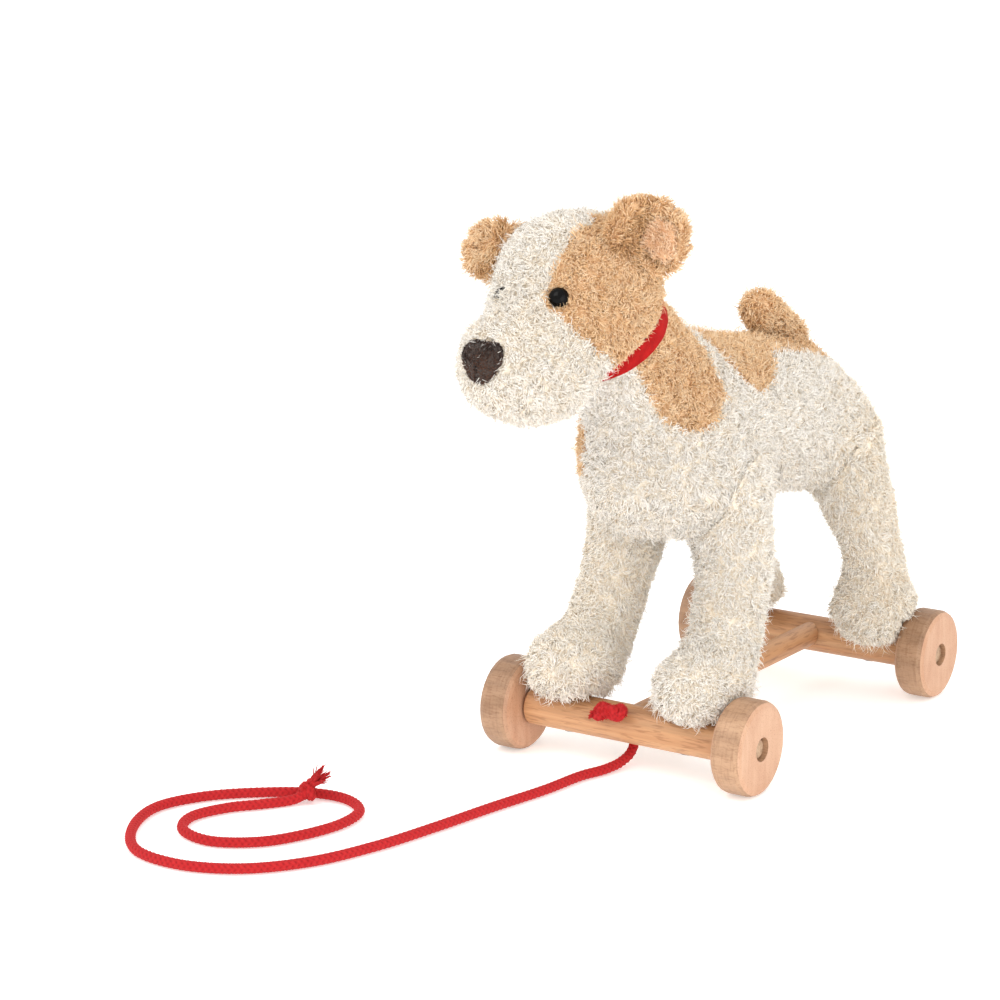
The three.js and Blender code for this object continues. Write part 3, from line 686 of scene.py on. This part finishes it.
def skin(name, nodes, near, voxel, inset, material, pressure=4.0, cap=1.2 * MM):
    """A stuffed cover inside the CAD pieces' outline, and at that outline where it meets what near names."""
    points, faces = surfaces_of(nodes)
    mesh = bpy.data.meshes.new(name)
    mesh.from_pydata(points, [], faces)
    obj = bpy.data.objects.new(name, mesh)
    SCENE.collection.objects.link(obj)
    remesh = obj.modifiers.new("even", "REMESH")
    remesh.mode, remesh.voxel_size = "VOXEL", voxel
    apply_all(obj)
    keep_largest(obj)
    points = relax(points_of(obj), obj.data, 2)
    set_points(obj, points)
    share = np.ones(len(points))
    if near:
        gap = reach(tree_of(*near), points, 0.02)
        share = np.clip((gap - 1.0 * MM) / (6 * MM), 0, 1)
        share = relax(share[:, None], obj.data, 2)[:, 0]
    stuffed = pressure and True
    extra = cap * 0.7 if stuffed else 0.0
    points = points - normals_of(obj.data) * ((inset + extra) * share)[:, None]
    points = relax(points, obj.data, 2)
    set_points(obj, points)
    if stuffed:
        puff(obj, pressure, cap)
    more = obj.modifiers.new("fine", "SUBSURF")
    more.levels = more.render_levels = 1
    apply_all(obj)
    obj.data.polygons.foreach_set("use_smooth", np.ones(len(obj.data.polygons), bool))
    obj.data.materials.clear()
    obj.data.materials.append(material)
    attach(obj, BODY)
    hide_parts(*nodes)
    return obj


def keep_largest(obj):
    """Drops the small closed films that remeshing leaves in the gaps between joined pieces."""
    count = len(obj.data.vertices)
    a, b = read(obj.data.edges, "vertices", 2, np.int32).T
    label = np.arange(count)
    while True:
        low = np.minimum(label[a], label[b])
        new = label.copy()
        np.minimum.at(new, a, low)
        np.minimum.at(new, b, low)
        new = new[new]
        if (new == label).all():
            break
        label = new
    ids, sizes = np.unique(label, return_counts=True)
    if len(ids) == 1:
        return
    keep = label == ids[sizes.argmax()]
    number = np.cumsum(keep) - 1
    quads, triangles = [], []
    for face in obj.data.polygons:
        if keep[face.vertices[0]]:
            (quads if len(face.vertices) == 4 else triangles).append([number[v] for v in face.vertices])
    obj.data = mesh_of(obj.name, points_of(obj)[keep], quads, triangles)


LEGS = [f"leg_{end}_{hand}" for end in ENDS for hand in SIDES]
TORSO, HEAD = ("torso", "neck_patch", "rump_patch", "chest_patch"), ("head", "eye_patch")
PLUSH = [*TORSO, *HEAD, "tail", "ear_left", "ear_right", *LEGS]


def others(*own):
    return [n for n in PLUSH if n not in own]


EAR_FRAMES = {  # foot, way up, way out, width, height and sense of each ear
    "left": (at_mm(32.5, -142, 247), (0.42, -0.12, 1), (1, 0.15, 0), 36.4 * MM, 34.4 * MM, -1),
    "right": (at_mm(-28, -142, 257.5), (-1, -0.1, -0.5), (-0.5, -0.1, 1), 26.5 * MM, 31 * MM, 1),
}
CREASES = (((-0.06, -0.24), (0.34, -0.4)), ((-0.3, -0.4), (-0.26, 0.4)))  # in shares of width and height


def in_ear(points, hand):
    """Place across and up an ear in shares of its size, place forward of its foot, and the way forward."""
    foot, way_up, way_out, wide, tall, turn = EAR_FRAMES[hand]
    w = unit(way_up)
    u = np.array(way_out, float)
    u = unit(u - w * (u @ w))
    v = np.cross(w, u) * turn
    rel = points - foot
    return rel @ u / wide - 0.1, rel @ w / tall - 0.52, rel @ v, v


def to_creases(a, c):
    """Distance from places on an ear to each of its folds, in shares of its size."""
    for (a0, c0), (a1, c1) in CREASES:
        t = ((a - a0) * (a1 - a0) + (c - c0) * (c1 - c0)) / ((a1 - a0) ** 2 + (c1 - c0) ** 2)
        t = np.clip(t, 0, 1)
        yield np.hypot(a - a0 - t * (a1 - a0), c - c0 - t * (c1 - c0))


def cup(obj, hand, deep):
    """Presses the front of an ear in, so that it is hollow and its edges curl forward."""
    co = points_of(obj)
    a, c, b, forward = in_ear(co, hand)
    well = np.exp(-((a / 0.24) ** 2 + (c / 0.34) ** 2))
    front = np.clip((b + 2 * MM) / (5 * MM), 0, 1)
    rim = np.clip((np.hypot(a / 0.42, c / 0.5) - 0.75) / 0.35, 0, 1)
    move = -deep * well * front + deep * 0.35 * rim * (c > -0.25)
    for away in to_creases(a, c):
        move -= deep * np.exp(-((away / 0.1) ** 2)) * front
    set_points(obj, co + forward * move[:, None])


def fold_painted_shade(hand):
    """How far the yarn of an ear darkens, as painted shade: along its folds and on the edge turned towards
    the head.
    """
    def darker(points):
        a, c, _, _ = in_ear(points, hand)
        shade = 1.1 * np.clip((-0.12 - a) / 0.2, 0, 1) * np.clip((0.42 - c) / 0.2, 0, 1)
        for away in to_creases(a, c):
            shade = shade + 2.2 * np.exp(-((away / 0.07) ** 2))
        return shade

    return darker


INSET = 2.3 * MM
SKINS = {
    "torso": skin("torso_cover", TORSO, [*others(*TORSO), "collar"], 3.2 * MM, INSET, M["cream_ground"]),
    "head": skin("head_cover", HEAD, [*others(*HEAD), "collar", "nose"], 3.0 * MM, INSET, M["cream_ground"]),
}
for leg in LEGS:
    SKINS[leg] = skin(f"{leg}_cover", (leg,), others(leg), 3.0 * MM, INSET, M["cream_ground"])
SKINS["tail"] = skin("tail_cover", ("tail",), others("tail"), 2.2 * MM, 2.0 * MM, M["tan_ground"],
                     pressure=0)
for hand in SIDES:
    ear = f"ear_{hand}"
    SKINS[ear] = skin(f"{ear}_flap", (ear,), others(ear), 1.5 * MM, 1.0 * MM, M["tan_ground"],
                      pressure=0)
for hand in SIDES:
    lining = f"ear_lining_{hand}"
    SKINS[lining] = skin(f"ear_{hand}_lining", (lining,), (), 1.1 * MM, 0.5 * MM, M["lining"],
                         pressure=0)
    cup(SKINS[f"ear_{hand}"], hand, 3.8 * MM)
    cup(SKINS[lining], hand, 4.8 * MM)
SKINS["nose"] = skin("nose_pad", ("nose",), ["head"], 1.2 * MM, 0.5 * MM, M["nose_ground"],
                     pressure=0)


# ---- pile
def inside_wood(points):
    """True for points in or close to the beams, spine and wheels."""
    x, y, z = points[..., 0], points[..., 1], points[..., 2]
    bad = np.zeros(x.shape, bool)
    out, margin = np.abs(x), 0.35 * MM
    for axle in (BEAM_Y, BEAM_Y + WHEELBASE):
        r = np.hypot(y - axle, z - BEAM_Z)
        bad |= (r < BEAM_R + margin) & (out < BEAM_END)
        bad |= (r < WHEEL_R + margin) & (out > WHEEL_IN - margin) & (out < WHEEL_OUT + margin)
    bad |= (np.hypot(x, z - SPINE_Z) < SPINE_R + margin) & (y > BEAM_Y) & (y < BEAM_Y + WHEELBASE)
    return bad | (z < 1.0 * MM)


NECK = FRONT_UP
COLLAR = at_mm(0, -125.7, 216.5)


def inside_collar(points):
    """True for points in the felt collar or standing over its outer face."""
    rel = points - COLLAR
    a = rel @ NECK
    r = np.linalg.norm(rel - a[..., None] * NECK, axis=-1)
    band = (a > -5.4 * MM) & (a < 4.0 * MM) & (r < 32.9 * MM)
    over_it = (a > -5.2 * MM) & (a < 3.6 * MM) & (r < 37.5 * MM)
    return (r > 26 * MM) & (band | over_it)


def eye_frame(hand):
    """The middle of an eye's dome and the way it looks, from its CAD node."""
    co = points_of(NODES[f"eye_{hand}"])
    far = np.linalg.norm(co - at_mm(0, -139.5, 235), axis=1)
    tip, foot = co[far.argmax()], co[far.argmin()]
    way = unit(tip - foot)
    return tip - way * 2.5 * MM, way


EYES = {h: eye_frame(h) for h in SIDES}


def inside_eyes(points):
    """True for tufts that start under an eye or cross its dome."""
    bad = np.zeros(points.shape[:-1], bool)
    for hand, (centre, way) in EYES.items():
        rel = points - centre
        height = rel @ way
        off = np.linalg.norm(rel - height[..., None] * way, axis=-1)
        near = np.full(off.shape, 3.6)
        if hand == "right":  # the fur on the bridge of the nose lies over the right eye
            near = np.where(rel @ unit((1.0, 0.0, 0.8)) > -0.4 * MM, 0.8, 3.0)
        bad |= (off < near * MM) & (np.abs(height) < 6 * MM) & (np.arange(points.shape[-2]) == 0)
        if hand == "left":
            bad |= (off < 3.2 * MM) & (height < 1.0 * MM) & (height > -6 * MM)
    return bad


def scatter(obj, density, rng):
    """Random points on obj's surface, so many to a square metre, with their normals."""
    mesh = obj.data
    mesh.calc_loop_triangles()
    tris = read(mesh.loop_triangles, "vertices", 3, np.int32)
    co, no = points_of(obj), normals_of(mesh)
    a, b, c = (co[tris[:, k]] for k in range(3))
    area = np.linalg.norm(np.cross(b - a, c - a), axis=1) / 2
    count = int(area.sum() * density)
    pick = rng.choice(len(tris), count, p=area / area.sum())
    u, v = rng.random((2, count, 1))
    flip = (u + v) > 1
    u, v = np.where(flip, 1 - u, u), np.where(flip, 1 - v, v)
    t = tris[pick]
    p = co[t[:, 0]] * (1 - u - v) + co[t[:, 1]] * u + co[t[:, 2]] * v
    n = unit(no[t[:, 0]] * (1 - u - v) + no[t[:, 1]] * u + no[t[:, 2]] * v)
    return p, n


def covered(points, obj, margin):
    """True where a point lies inside obj, deeper than margin."""
    low, high = points_of(obj).min(0), points_of(obj).max(0)
    maybe = np.all((points > low) & (points < high), axis=1)
    tree = BVHTree.FromObject(obj, bpy.context.evaluated_depsgraph_get())
    out = np.zeros(len(points), bool)
    for i in np.flatnonzero(maybe):
        where, normal, _, far = tree.find_nearest(Vector(points[i]))
        if where is not None and (Vector(points[i]) - where).dot(normal) < 0 and far > margin:
            out[i] = True
    return out


RINGS = 3
CLUMP = 20  # tufts to a lock
PROFILE = (0.9, 1.0, 0.85)


def locks_of(points, share, rng):
    """For each root, the index of the root its lock gathers round."""
    centres = rng.choice(len(points), max(1, len(points) // share), replace=False)
    tree = KDTree(len(centres))
    for k, c in enumerate(centres):
        tree.insert(points[c], k)
    tree.balance()
    return centres[np.array([tree.find(p)[1] for p in points], int)]


def grow(points, normals, rng, length, lean, curl, comb, comb_share, gather):
    """Centre lines of curled tufts, one from each root, gathered into locks."""
    n = len(points)
    if callable(length):
        length = length(points)
    lock = locks_of(points, CLUMP, rng)
    t = rng.normal(size=(n, 3))
    t = t + 0.8 * t[lock]  # a lock lies mostly one way
    t = unit(t - (t * normals).sum(1)[:, None] * normals)
    lay = comb - (comb * normals).sum(-1)[:, None] * normals
    t = unit(t + comb_share * lay)
    b = np.cross(normals, t)
    tall = 0.8 + 0.4 * rng.random(n)
    size = length * (0.78 + 0.44 * rng.random(n)) * tall[lock]
    stray = rng.random(n) < 0.08
    size = np.where(stray, size * 1.45, size)
    start = np.radians(lean[0] + 24 * (rng.random(n) - 0.5))
    stop = np.radians(lean[1] + 40 * (rng.random(n) - 0.5))
    start, stop = np.where(stray, start * 0.6, start), np.where(stray, stop * 0.7, stop)
    swirl = rng.normal(0, curl, n)
    line = [points - normals * 0.5 * MM]
    for k in range(RINGS):
        s = (k + 0.5) / RINGS
        phi = start + (stop - start) * s
        psi = swirl * s
        d = (normals * np.cos(phi)[:, None]
             + (t * np.cos(psi)[:, None] + b * np.sin(psi)[:, None]) * np.sin(phi)[:, None])
        line.append(line[-1] + d * (size / RINGS)[:, None])
    line = np.stack(line, 1)
    pull = gather * (0.7 + 0.5 * rng.random(n)) * ~stray
    along = (np.arange(RINGS + 1) / RINGS) ** 1.1
    line = line + (line[lock] - line) * (pull[:, None] * along)[..., None]
    return line, lock, stray


def tufts(name, line, normals, radius, rng, slots, family, materials, most=9300):
    """Tufts as meshes of a workable size. Their feet are a shade darker, as painted shade deep in the pile,
    and their tips a shade lighter, as painted light.
    """
    made = []
    parts = max(1, math.ceil(len(line) / most))
    order = np.argsort(line[:, 0, 1], kind="stable")
    for number, index in enumerate(np.array_split(order, parts)):
        l, nn, s, thick, first = line[index], normals[index], slots[index], radius[index], family[index] * 5
        n = len(l)
        ways = unit(np.diff(l, axis=1))
        thick = thick * (0.75 + 0.5 * rng.random(n))
        rings = []
        for k in range(RINGS):
            d = ways[:, 0] if k == 0 else unit(ways[:, k - 1] + ways[:, k])
            u = unit(np.cross(nn + 0.01, d))
            v = np.cross(d, u)
            for turn in (0, 2.0944, 4.1888):
                out = u * math.cos(turn) + v * math.sin(turn)
                rings.append(l[:, k] + out * (thick * PROFILE[k])[:, None])
        verts = np.stack([*rings, l[:, RINGS]], 1)
        per = 3 * RINGS + 1
        quad, tri, step = [], [], []
        for k in range(RINGS - 1):
            for j in range(3):
                m = (j + 1) % 3
                quad.append((3 * k + j, 3 * k + m, 3 * k + 3 + m, 3 * k + 3 + j))
                step.append((1, 0)[k])
        for j in range(3):
            tri.append((3 * (RINGS - 1) + j, 3 * (RINGS - 1) + (j + 1) % 3, per - 1))
        base = (np.arange(n) * per)[:, None, None]
        quads = (base + np.array(quad)[None]).reshape(-1, 4)
        tris = (base + np.array(tri)[None]).reshape(-1, 3)
        # painted shade and light: each tuft's first ring of quads takes a shade darker, its tip a shade
        # lighter
        of_quad = (np.clip(s[:, None] + np.array(step)[None], 0, 4) + first[:, None]).ravel()
        of_tip = np.repeat(np.clip(s - 1, 0, 4) + first, len(tri))
        shade = np.concatenate([of_quad, of_tip])
        mesh = mesh_of(f"{name}_{number + 1}", verts.reshape(-1, 3), quads, tris, shade)
        made.append(new_object(f"{name}_{number + 1}", mesh, materials))
    return made


REGION_TREES = {name: tree_of(name) for name in (*TORSO, *HEAD)}


def region(points, names):
    """Index into names of the CAD piece each point is nearest to."""
    return np.argmin(np.stack([reach(REGION_TREES[n], points, 0.03) for n in names], 1), 1)


def shades(rng, lock, darker=0.0):
    """A shade for each tuft, mostly its lock's."""
    count = len(lock)
    of_lock = rng.normal(1.3, 0.5, count)[lock]
    return np.clip(np.rint(of_lock + rng.normal(0, 0.8, count) + darker), 0, 4).astype(np.int32)


DOWN = np.array((0, 0.15, -1.0))
TOTAL = [0]
SLOT_OF = {id(CREAM): "cream_plush", id(TAN): "tan_plush", id(PEACH): "ear_lining", id(BROWN): "nose_knit",
           id(SCARLET): "red_felt"}


def painted_warm_shade(points):
    """Share of the warmer cream yarn, which is painted warm shade: more of it low down, on the right side and
    towards the rear.
    """
    x, y, z = points.T
    rear = 0.8 * np.clip((y - 0.075) / 0.05, 0, 1) * np.clip((0.2 - z) / 0.06, 0.25, 1)
    low = np.clip((0.15 - z) / 0.05, 0, 1) * np.where(x < 0, 0.55, 0.2)
    return np.clip(0.08 + np.maximum(rear, low), 0, 1)


def coat(name, key, density, length, radius, lean, curl, comb, comb_share, seed, kinds, blockers=(),
         panels=(), filters=(inside_wood,), gather=0.36, slot=None, darker=None):
    """Grows the pile of one cover: each of its regions in its own colour."""
    rng = np.random.default_rng(seed)
    density = density * 1.0
    p, n = scatter(SKINS[key], density * 1e6, rng)
    hidden = np.zeros(len(p), bool)
    for other in blockers:
        hidden |= covered(p, SKINS[other], 0.8 * MM)
    p, n = p[~hidden], n[~hidden]
    line, lock, stray = grow(p, n, rng, length, lean, curl, comb, comb_share, gather)
    shade = shades(rng, lock, darker(p) if darker else 0.0)
    thick = np.where(stray, radius * 0.6, radius)
    bad = np.zeros(len(p), bool)
    for test in filters:
        bad |= test(line).any(1)
    p, n, line, shade, thick = p[~bad], n[~bad], line[~bad], shade[~bad], thick[~bad]
    which = region(p + n * INSET, [key, *panels]) if panels else np.zeros(len(p), int)
    label = ["", *panels]
    for k in range(len(kinds)):
        pick = which == k
        if not pick.any():
            continue
        materials, family = kinds[k], np.zeros(int(pick.sum()), int)
        # painted shade: the warmer cream takes over low down, on the right side and towards the rear
        if kinds[k] is CREAM:
            materials = [*CREAM, *PAINTED_SHADE_CREAM]
            family = (rng.random(len(family)) < painted_warm_shade(p[pick])).astype(int)
        pieces = tufts(f"{label[k] or name}_pile", line[pick], n[pick], thick[pick], rng, shade[pick], family,
                       materials)
        for piece in pieces:
            slot or SLOT_OF[id(kinds[k])]
        TOTAL[0] += int(pick.sum())


def ground_by_panel(key, panels):
    """Gives the cover under each sewn-in tan panel the tan ground cloth."""
    mesh = SKINS[key].data
    mesh.materials.append(M["tan_ground"])
    centres, normals = (read(mesh.polygons, key, 3).astype(float) for key in ("center", "normal"))
    at = centres + normals * INSET
    mesh.polygons.foreach_set("material_index", (region(at, [key, *panels]) > 0).astype(np.int32))


ground_by_panel("torso", TORSO[1:])
ground_by_panel("head", HEAD[1:])


def leg_length(points):
    """Pile that gets longer over the paw, where it hangs over the beam."""
    low = np.clip((58 * MM - points[:, 2]) / (24 * MM), 0, 1)
    return (4.6 + 1.8 * low) * MM


def pressed(points):
    """Share of its length that the pile keeps: the felt collar holds it down."""
    rel = points - COLLAR
    a = rel @ NECK
    r = np.linalg.norm(rel - a[:, None] * NECK, axis=1)
    off = np.clip(np.abs(a + 0.6 * MM) - 4.4 * MM, 0, None)
    return 1 - 0.5 * np.exp(-((off / (5 * MM)) ** 2)) * np.clip((40 * MM - r) / (5 * MM), 0, 1)


def body_length(points):
    return 5.0 * MM * pressed(points)


def head_length(points):
    """Pile that is longer round the right eye, which it half hides."""
    away = np.linalg.norm(points - EYES["right"][0] - np.array((4.5, -1.0, 0.5)) * MM, axis=1)
    return (4.8 + 5.0 * np.exp(-((away / (6.5 * MM)) ** 2))) * MM * pressed(points)


def muzzle_painted_shade(points):
    """How far the yarn darkens from the eyes towards the nose, as painted shade."""
    return 0.7 * np.clip((at_mm(0, -150, 0)[1] - points[:, 1]) / (30 * MM), 0, 1)


BODY_PILE = dict(density=1.85, length=body_length, radius=0.235 * MM, lean=(18, 96), curl=2.2, comb=DOWN,
                 comb_share=0.35)
LEG_PILE = {**BODY_PILE, "length": leg_length, "comb_share": 0.8}
coat("torso", "torso", seed=1, kinds=(CREAM, TAN, TAN, TAN), blockers=("head", "tail", *LEGS),
     panels=TORSO[1:], filters=(inside_wood, inside_collar), **BODY_PILE)
coat("head", "head", seed=2, kinds=(CREAM, TAN), blockers=("torso", "ear_left", "ear_right", "nose"),
     panels=HEAD[1:], filters=(inside_collar, inside_eyes), darker=muzzle_painted_shade,
     **{**BODY_PILE, "length": head_length, "comb_share": 0.6})
for i, leg in enumerate(LEGS):
    coat(leg, leg, seed=10 + i, kinds=(CREAM,), blockers=("torso", *LEGS[:i], *LEGS[i + 1:]), **LEG_PILE)
coat("tail", "tail", seed=3, kinds=(TAN,), blockers=("torso",), **{**BODY_PILE, "length": 6.0 * MM})
EAR_PILE = dict(density=2.1, length=5.6 * MM, radius=0.215 * MM, lean=(24, 78), curl=1.3, comb_share=0.8)
EAR_LAY = {"left": (0.45, 0.0, 0.9), "right": (-0.8, -0.1, -0.5)}
LINING_PILE = dict(density=2.3, length=3.6 * MM, radius=0.19 * MM, lean=(26, 85), curl=1.3, comb_share=0.8)
for hand in SIDES:
    ear, lining = f"ear_{hand}", f"ear_lining_{hand}"
    lay = dict(comb=np.array(EAR_LAY[hand]), darker=fold_painted_shade(hand))
    coat(ear, ear, seed=20, kinds=(TAN,), blockers=("head", lining), **lay, **EAR_PILE)
    coat(lining, lining, seed=21, kinds=(PEACH,), blockers=(ear, "head"), **lay, **LINING_PILE)

NOSE_MIDDLE = (points_of(NODES["nose"]).min(0) + points_of(NODES["nose"]).max(0)) / 2


def nose_shade(points):
    """The nose is darkest on top and along the stitch from its middle down to its point."""
    x, _, z = (points - NOSE_MIDDLE).T
    stitch = (np.abs(x + 0.1 * z) < 0.55 * MM) & (z < 0.5 * MM)
    return 2.6 * stitch + 1.2 * np.clip(z / (4 * MM), -0.4, 1)


coat("nose", "nose", seed=5, kinds=(BROWN,), blockers=("head",), density=4.0, length=1.3 * MM,
     radius=0.2 * MM, lean=(20, 90), curl=1.2, comb=DOWN, comb_share=0.1, gather=0.0, darker=nose_shade)


# ---- collar
HAIR = dict(kinds=(SCARLET,), radius=0.09 * MM, curl=1.5, comb=DOWN, comb_share=0.0)


def make_collar():
    """A felt band closed into a ring round the neck, a little uneven, with short hairs standing on it."""
    outer, thick, low_edge, high_edge = 32.4 * MM, 1.4 * MM, -5.0 * MM, 3.8 * MM
    across = np.array((1.0, 0, 0))
    over = np.cross(NECK, across)
    steps = 260
    angle = np.arange(steps) / steps * 2 * math.pi
    wobble = 0.10 * np.sin(3 * angle + 1.0) + 0.08 * np.sin(7 * angle + 0.4) + 0.05 * np.sin(17 * angle)
    edge = 0.18 * np.sin(5 * angle + 0.7) + 0.08 * np.sin(23 * angle + 2.0)
    half = thick / 2
    section = []  # radius from the outer face, and place across the width, round the band's section
    for at, start in ((high_edge - half, 0), (low_edge + half, math.pi)):
        turns = np.linspace(start, start + math.pi, 7)
        section += [(-half + half * math.cos(t), at + half * math.sin(t)) for t in turns]
    rows = []
    for d, a in section:
        r = outer + d + wobble * MM
        along = a + edge * MM * (0.6 if a > 0 else 0.4)
        rows.append(COLLAR + (across * np.cos(angle)[:, None] + over * np.sin(angle)[:, None]) * r[:, None]
                    + NECK * along[:, None])
    rows = np.array(rows)
    count = len(section)
    i, j = np.meshgrid(np.arange(count), np.arange(steps), indexing="ij")
    row, next_row, next_j = i * steps, (i + 1) % count * steps, (j + 1) % steps
    quads = np.stack([row + j, row + next_j, next_row + next_j, next_row + j], -1).reshape(-1, 4)
    mesh = mesh_of("collar_band", rows.reshape(-1, 3), quads)
    band = new_object("collar_band", mesh, [M["felt"]], node="collar")
    SKINS["collar"] = band
    coat("collar_hair", "collar", seed=31, density=2.6, length=0.9 * MM, lean=(50, 100), filters=(), **HAIR)


make_collar()


# ---- loose cotton hairs on the knots
for number, knot in enumerate(("beam_knot_turns", "end_knot_turns")):
    SKINS[knot] = bpy.data.objects[knot]
    coat(f"{knot}_hair", knot, seed=40 + number, density=1.6, length=1.7 * MM, lean=(35, 90), slot="red_cord",
         **HAIR)


# ---- studio
def studio():
    mesh = mesh_of("floor", np.array(((-6, -6, 0), (6, -6, 0), (6, 6, 0), (-6, 6, 0)), float), [(0, 1, 2, 3)])
    tree = Tree("floor_paper", 0.9)
    grain = tree.noise(tree.scaled(), 300, 3)
    tree.colour(tree.ramp(grain, (0.3, (0.93, 0.93, 0.93)), (0.7, (0.95, 0.95, 0.95))))
    tree.shader.inputs["Emission Color"].default_value = (1.0, 0.99, 0.975, 1)
    tree.shader.inputs["Emission Strength"].default_value = 0.36
    floor = new_object("floor", mesh, [tree.mat], body=None)
    world = bpy.data.worlds.new("studio")
    world.use_nodes = True
    world.node_tree.nodes["Background"].inputs[0].default_value = (1.0, 0.995, 0.985, 1)
    world.node_tree.nodes["Background"].inputs[1].default_value = 1.12
    SCENE.world = world

    def lamp(name, at, aim, size, power, colour=(1, 1, 1)):
        data = bpy.data.lights.new(name, "AREA")
        data.shape, data.size, data.energy, data.color = "DISK", size, power, colour
        light = bpy.data.objects.new(name, data)
        light.location = at
        light.rotation_mode = "QUATERNION"
        light.rotation_quaternion = (Vector(aim) - Vector(at)).to_track_quat("-Z", "Y")
        SCENE.collection.objects.link(light)

    lamp("key", (-0.5, -1.3, 1.7), (0, 0, 0.12), 1.2, 11.5, (1.0, 0.985, 0.96))
    lamp("fill", (1.5, -1.0, 0.6), (0, 0, 0.12), 1.4, 10.5, (1.0, 0.97, 0.93))
    SCENE.view_settings.view_transform = "Standard"
    SCENE.view_settings.look = "None"


studio()
print("tufts", TOTAL[0], "cord length", round(CORD_LENGTH, 4))
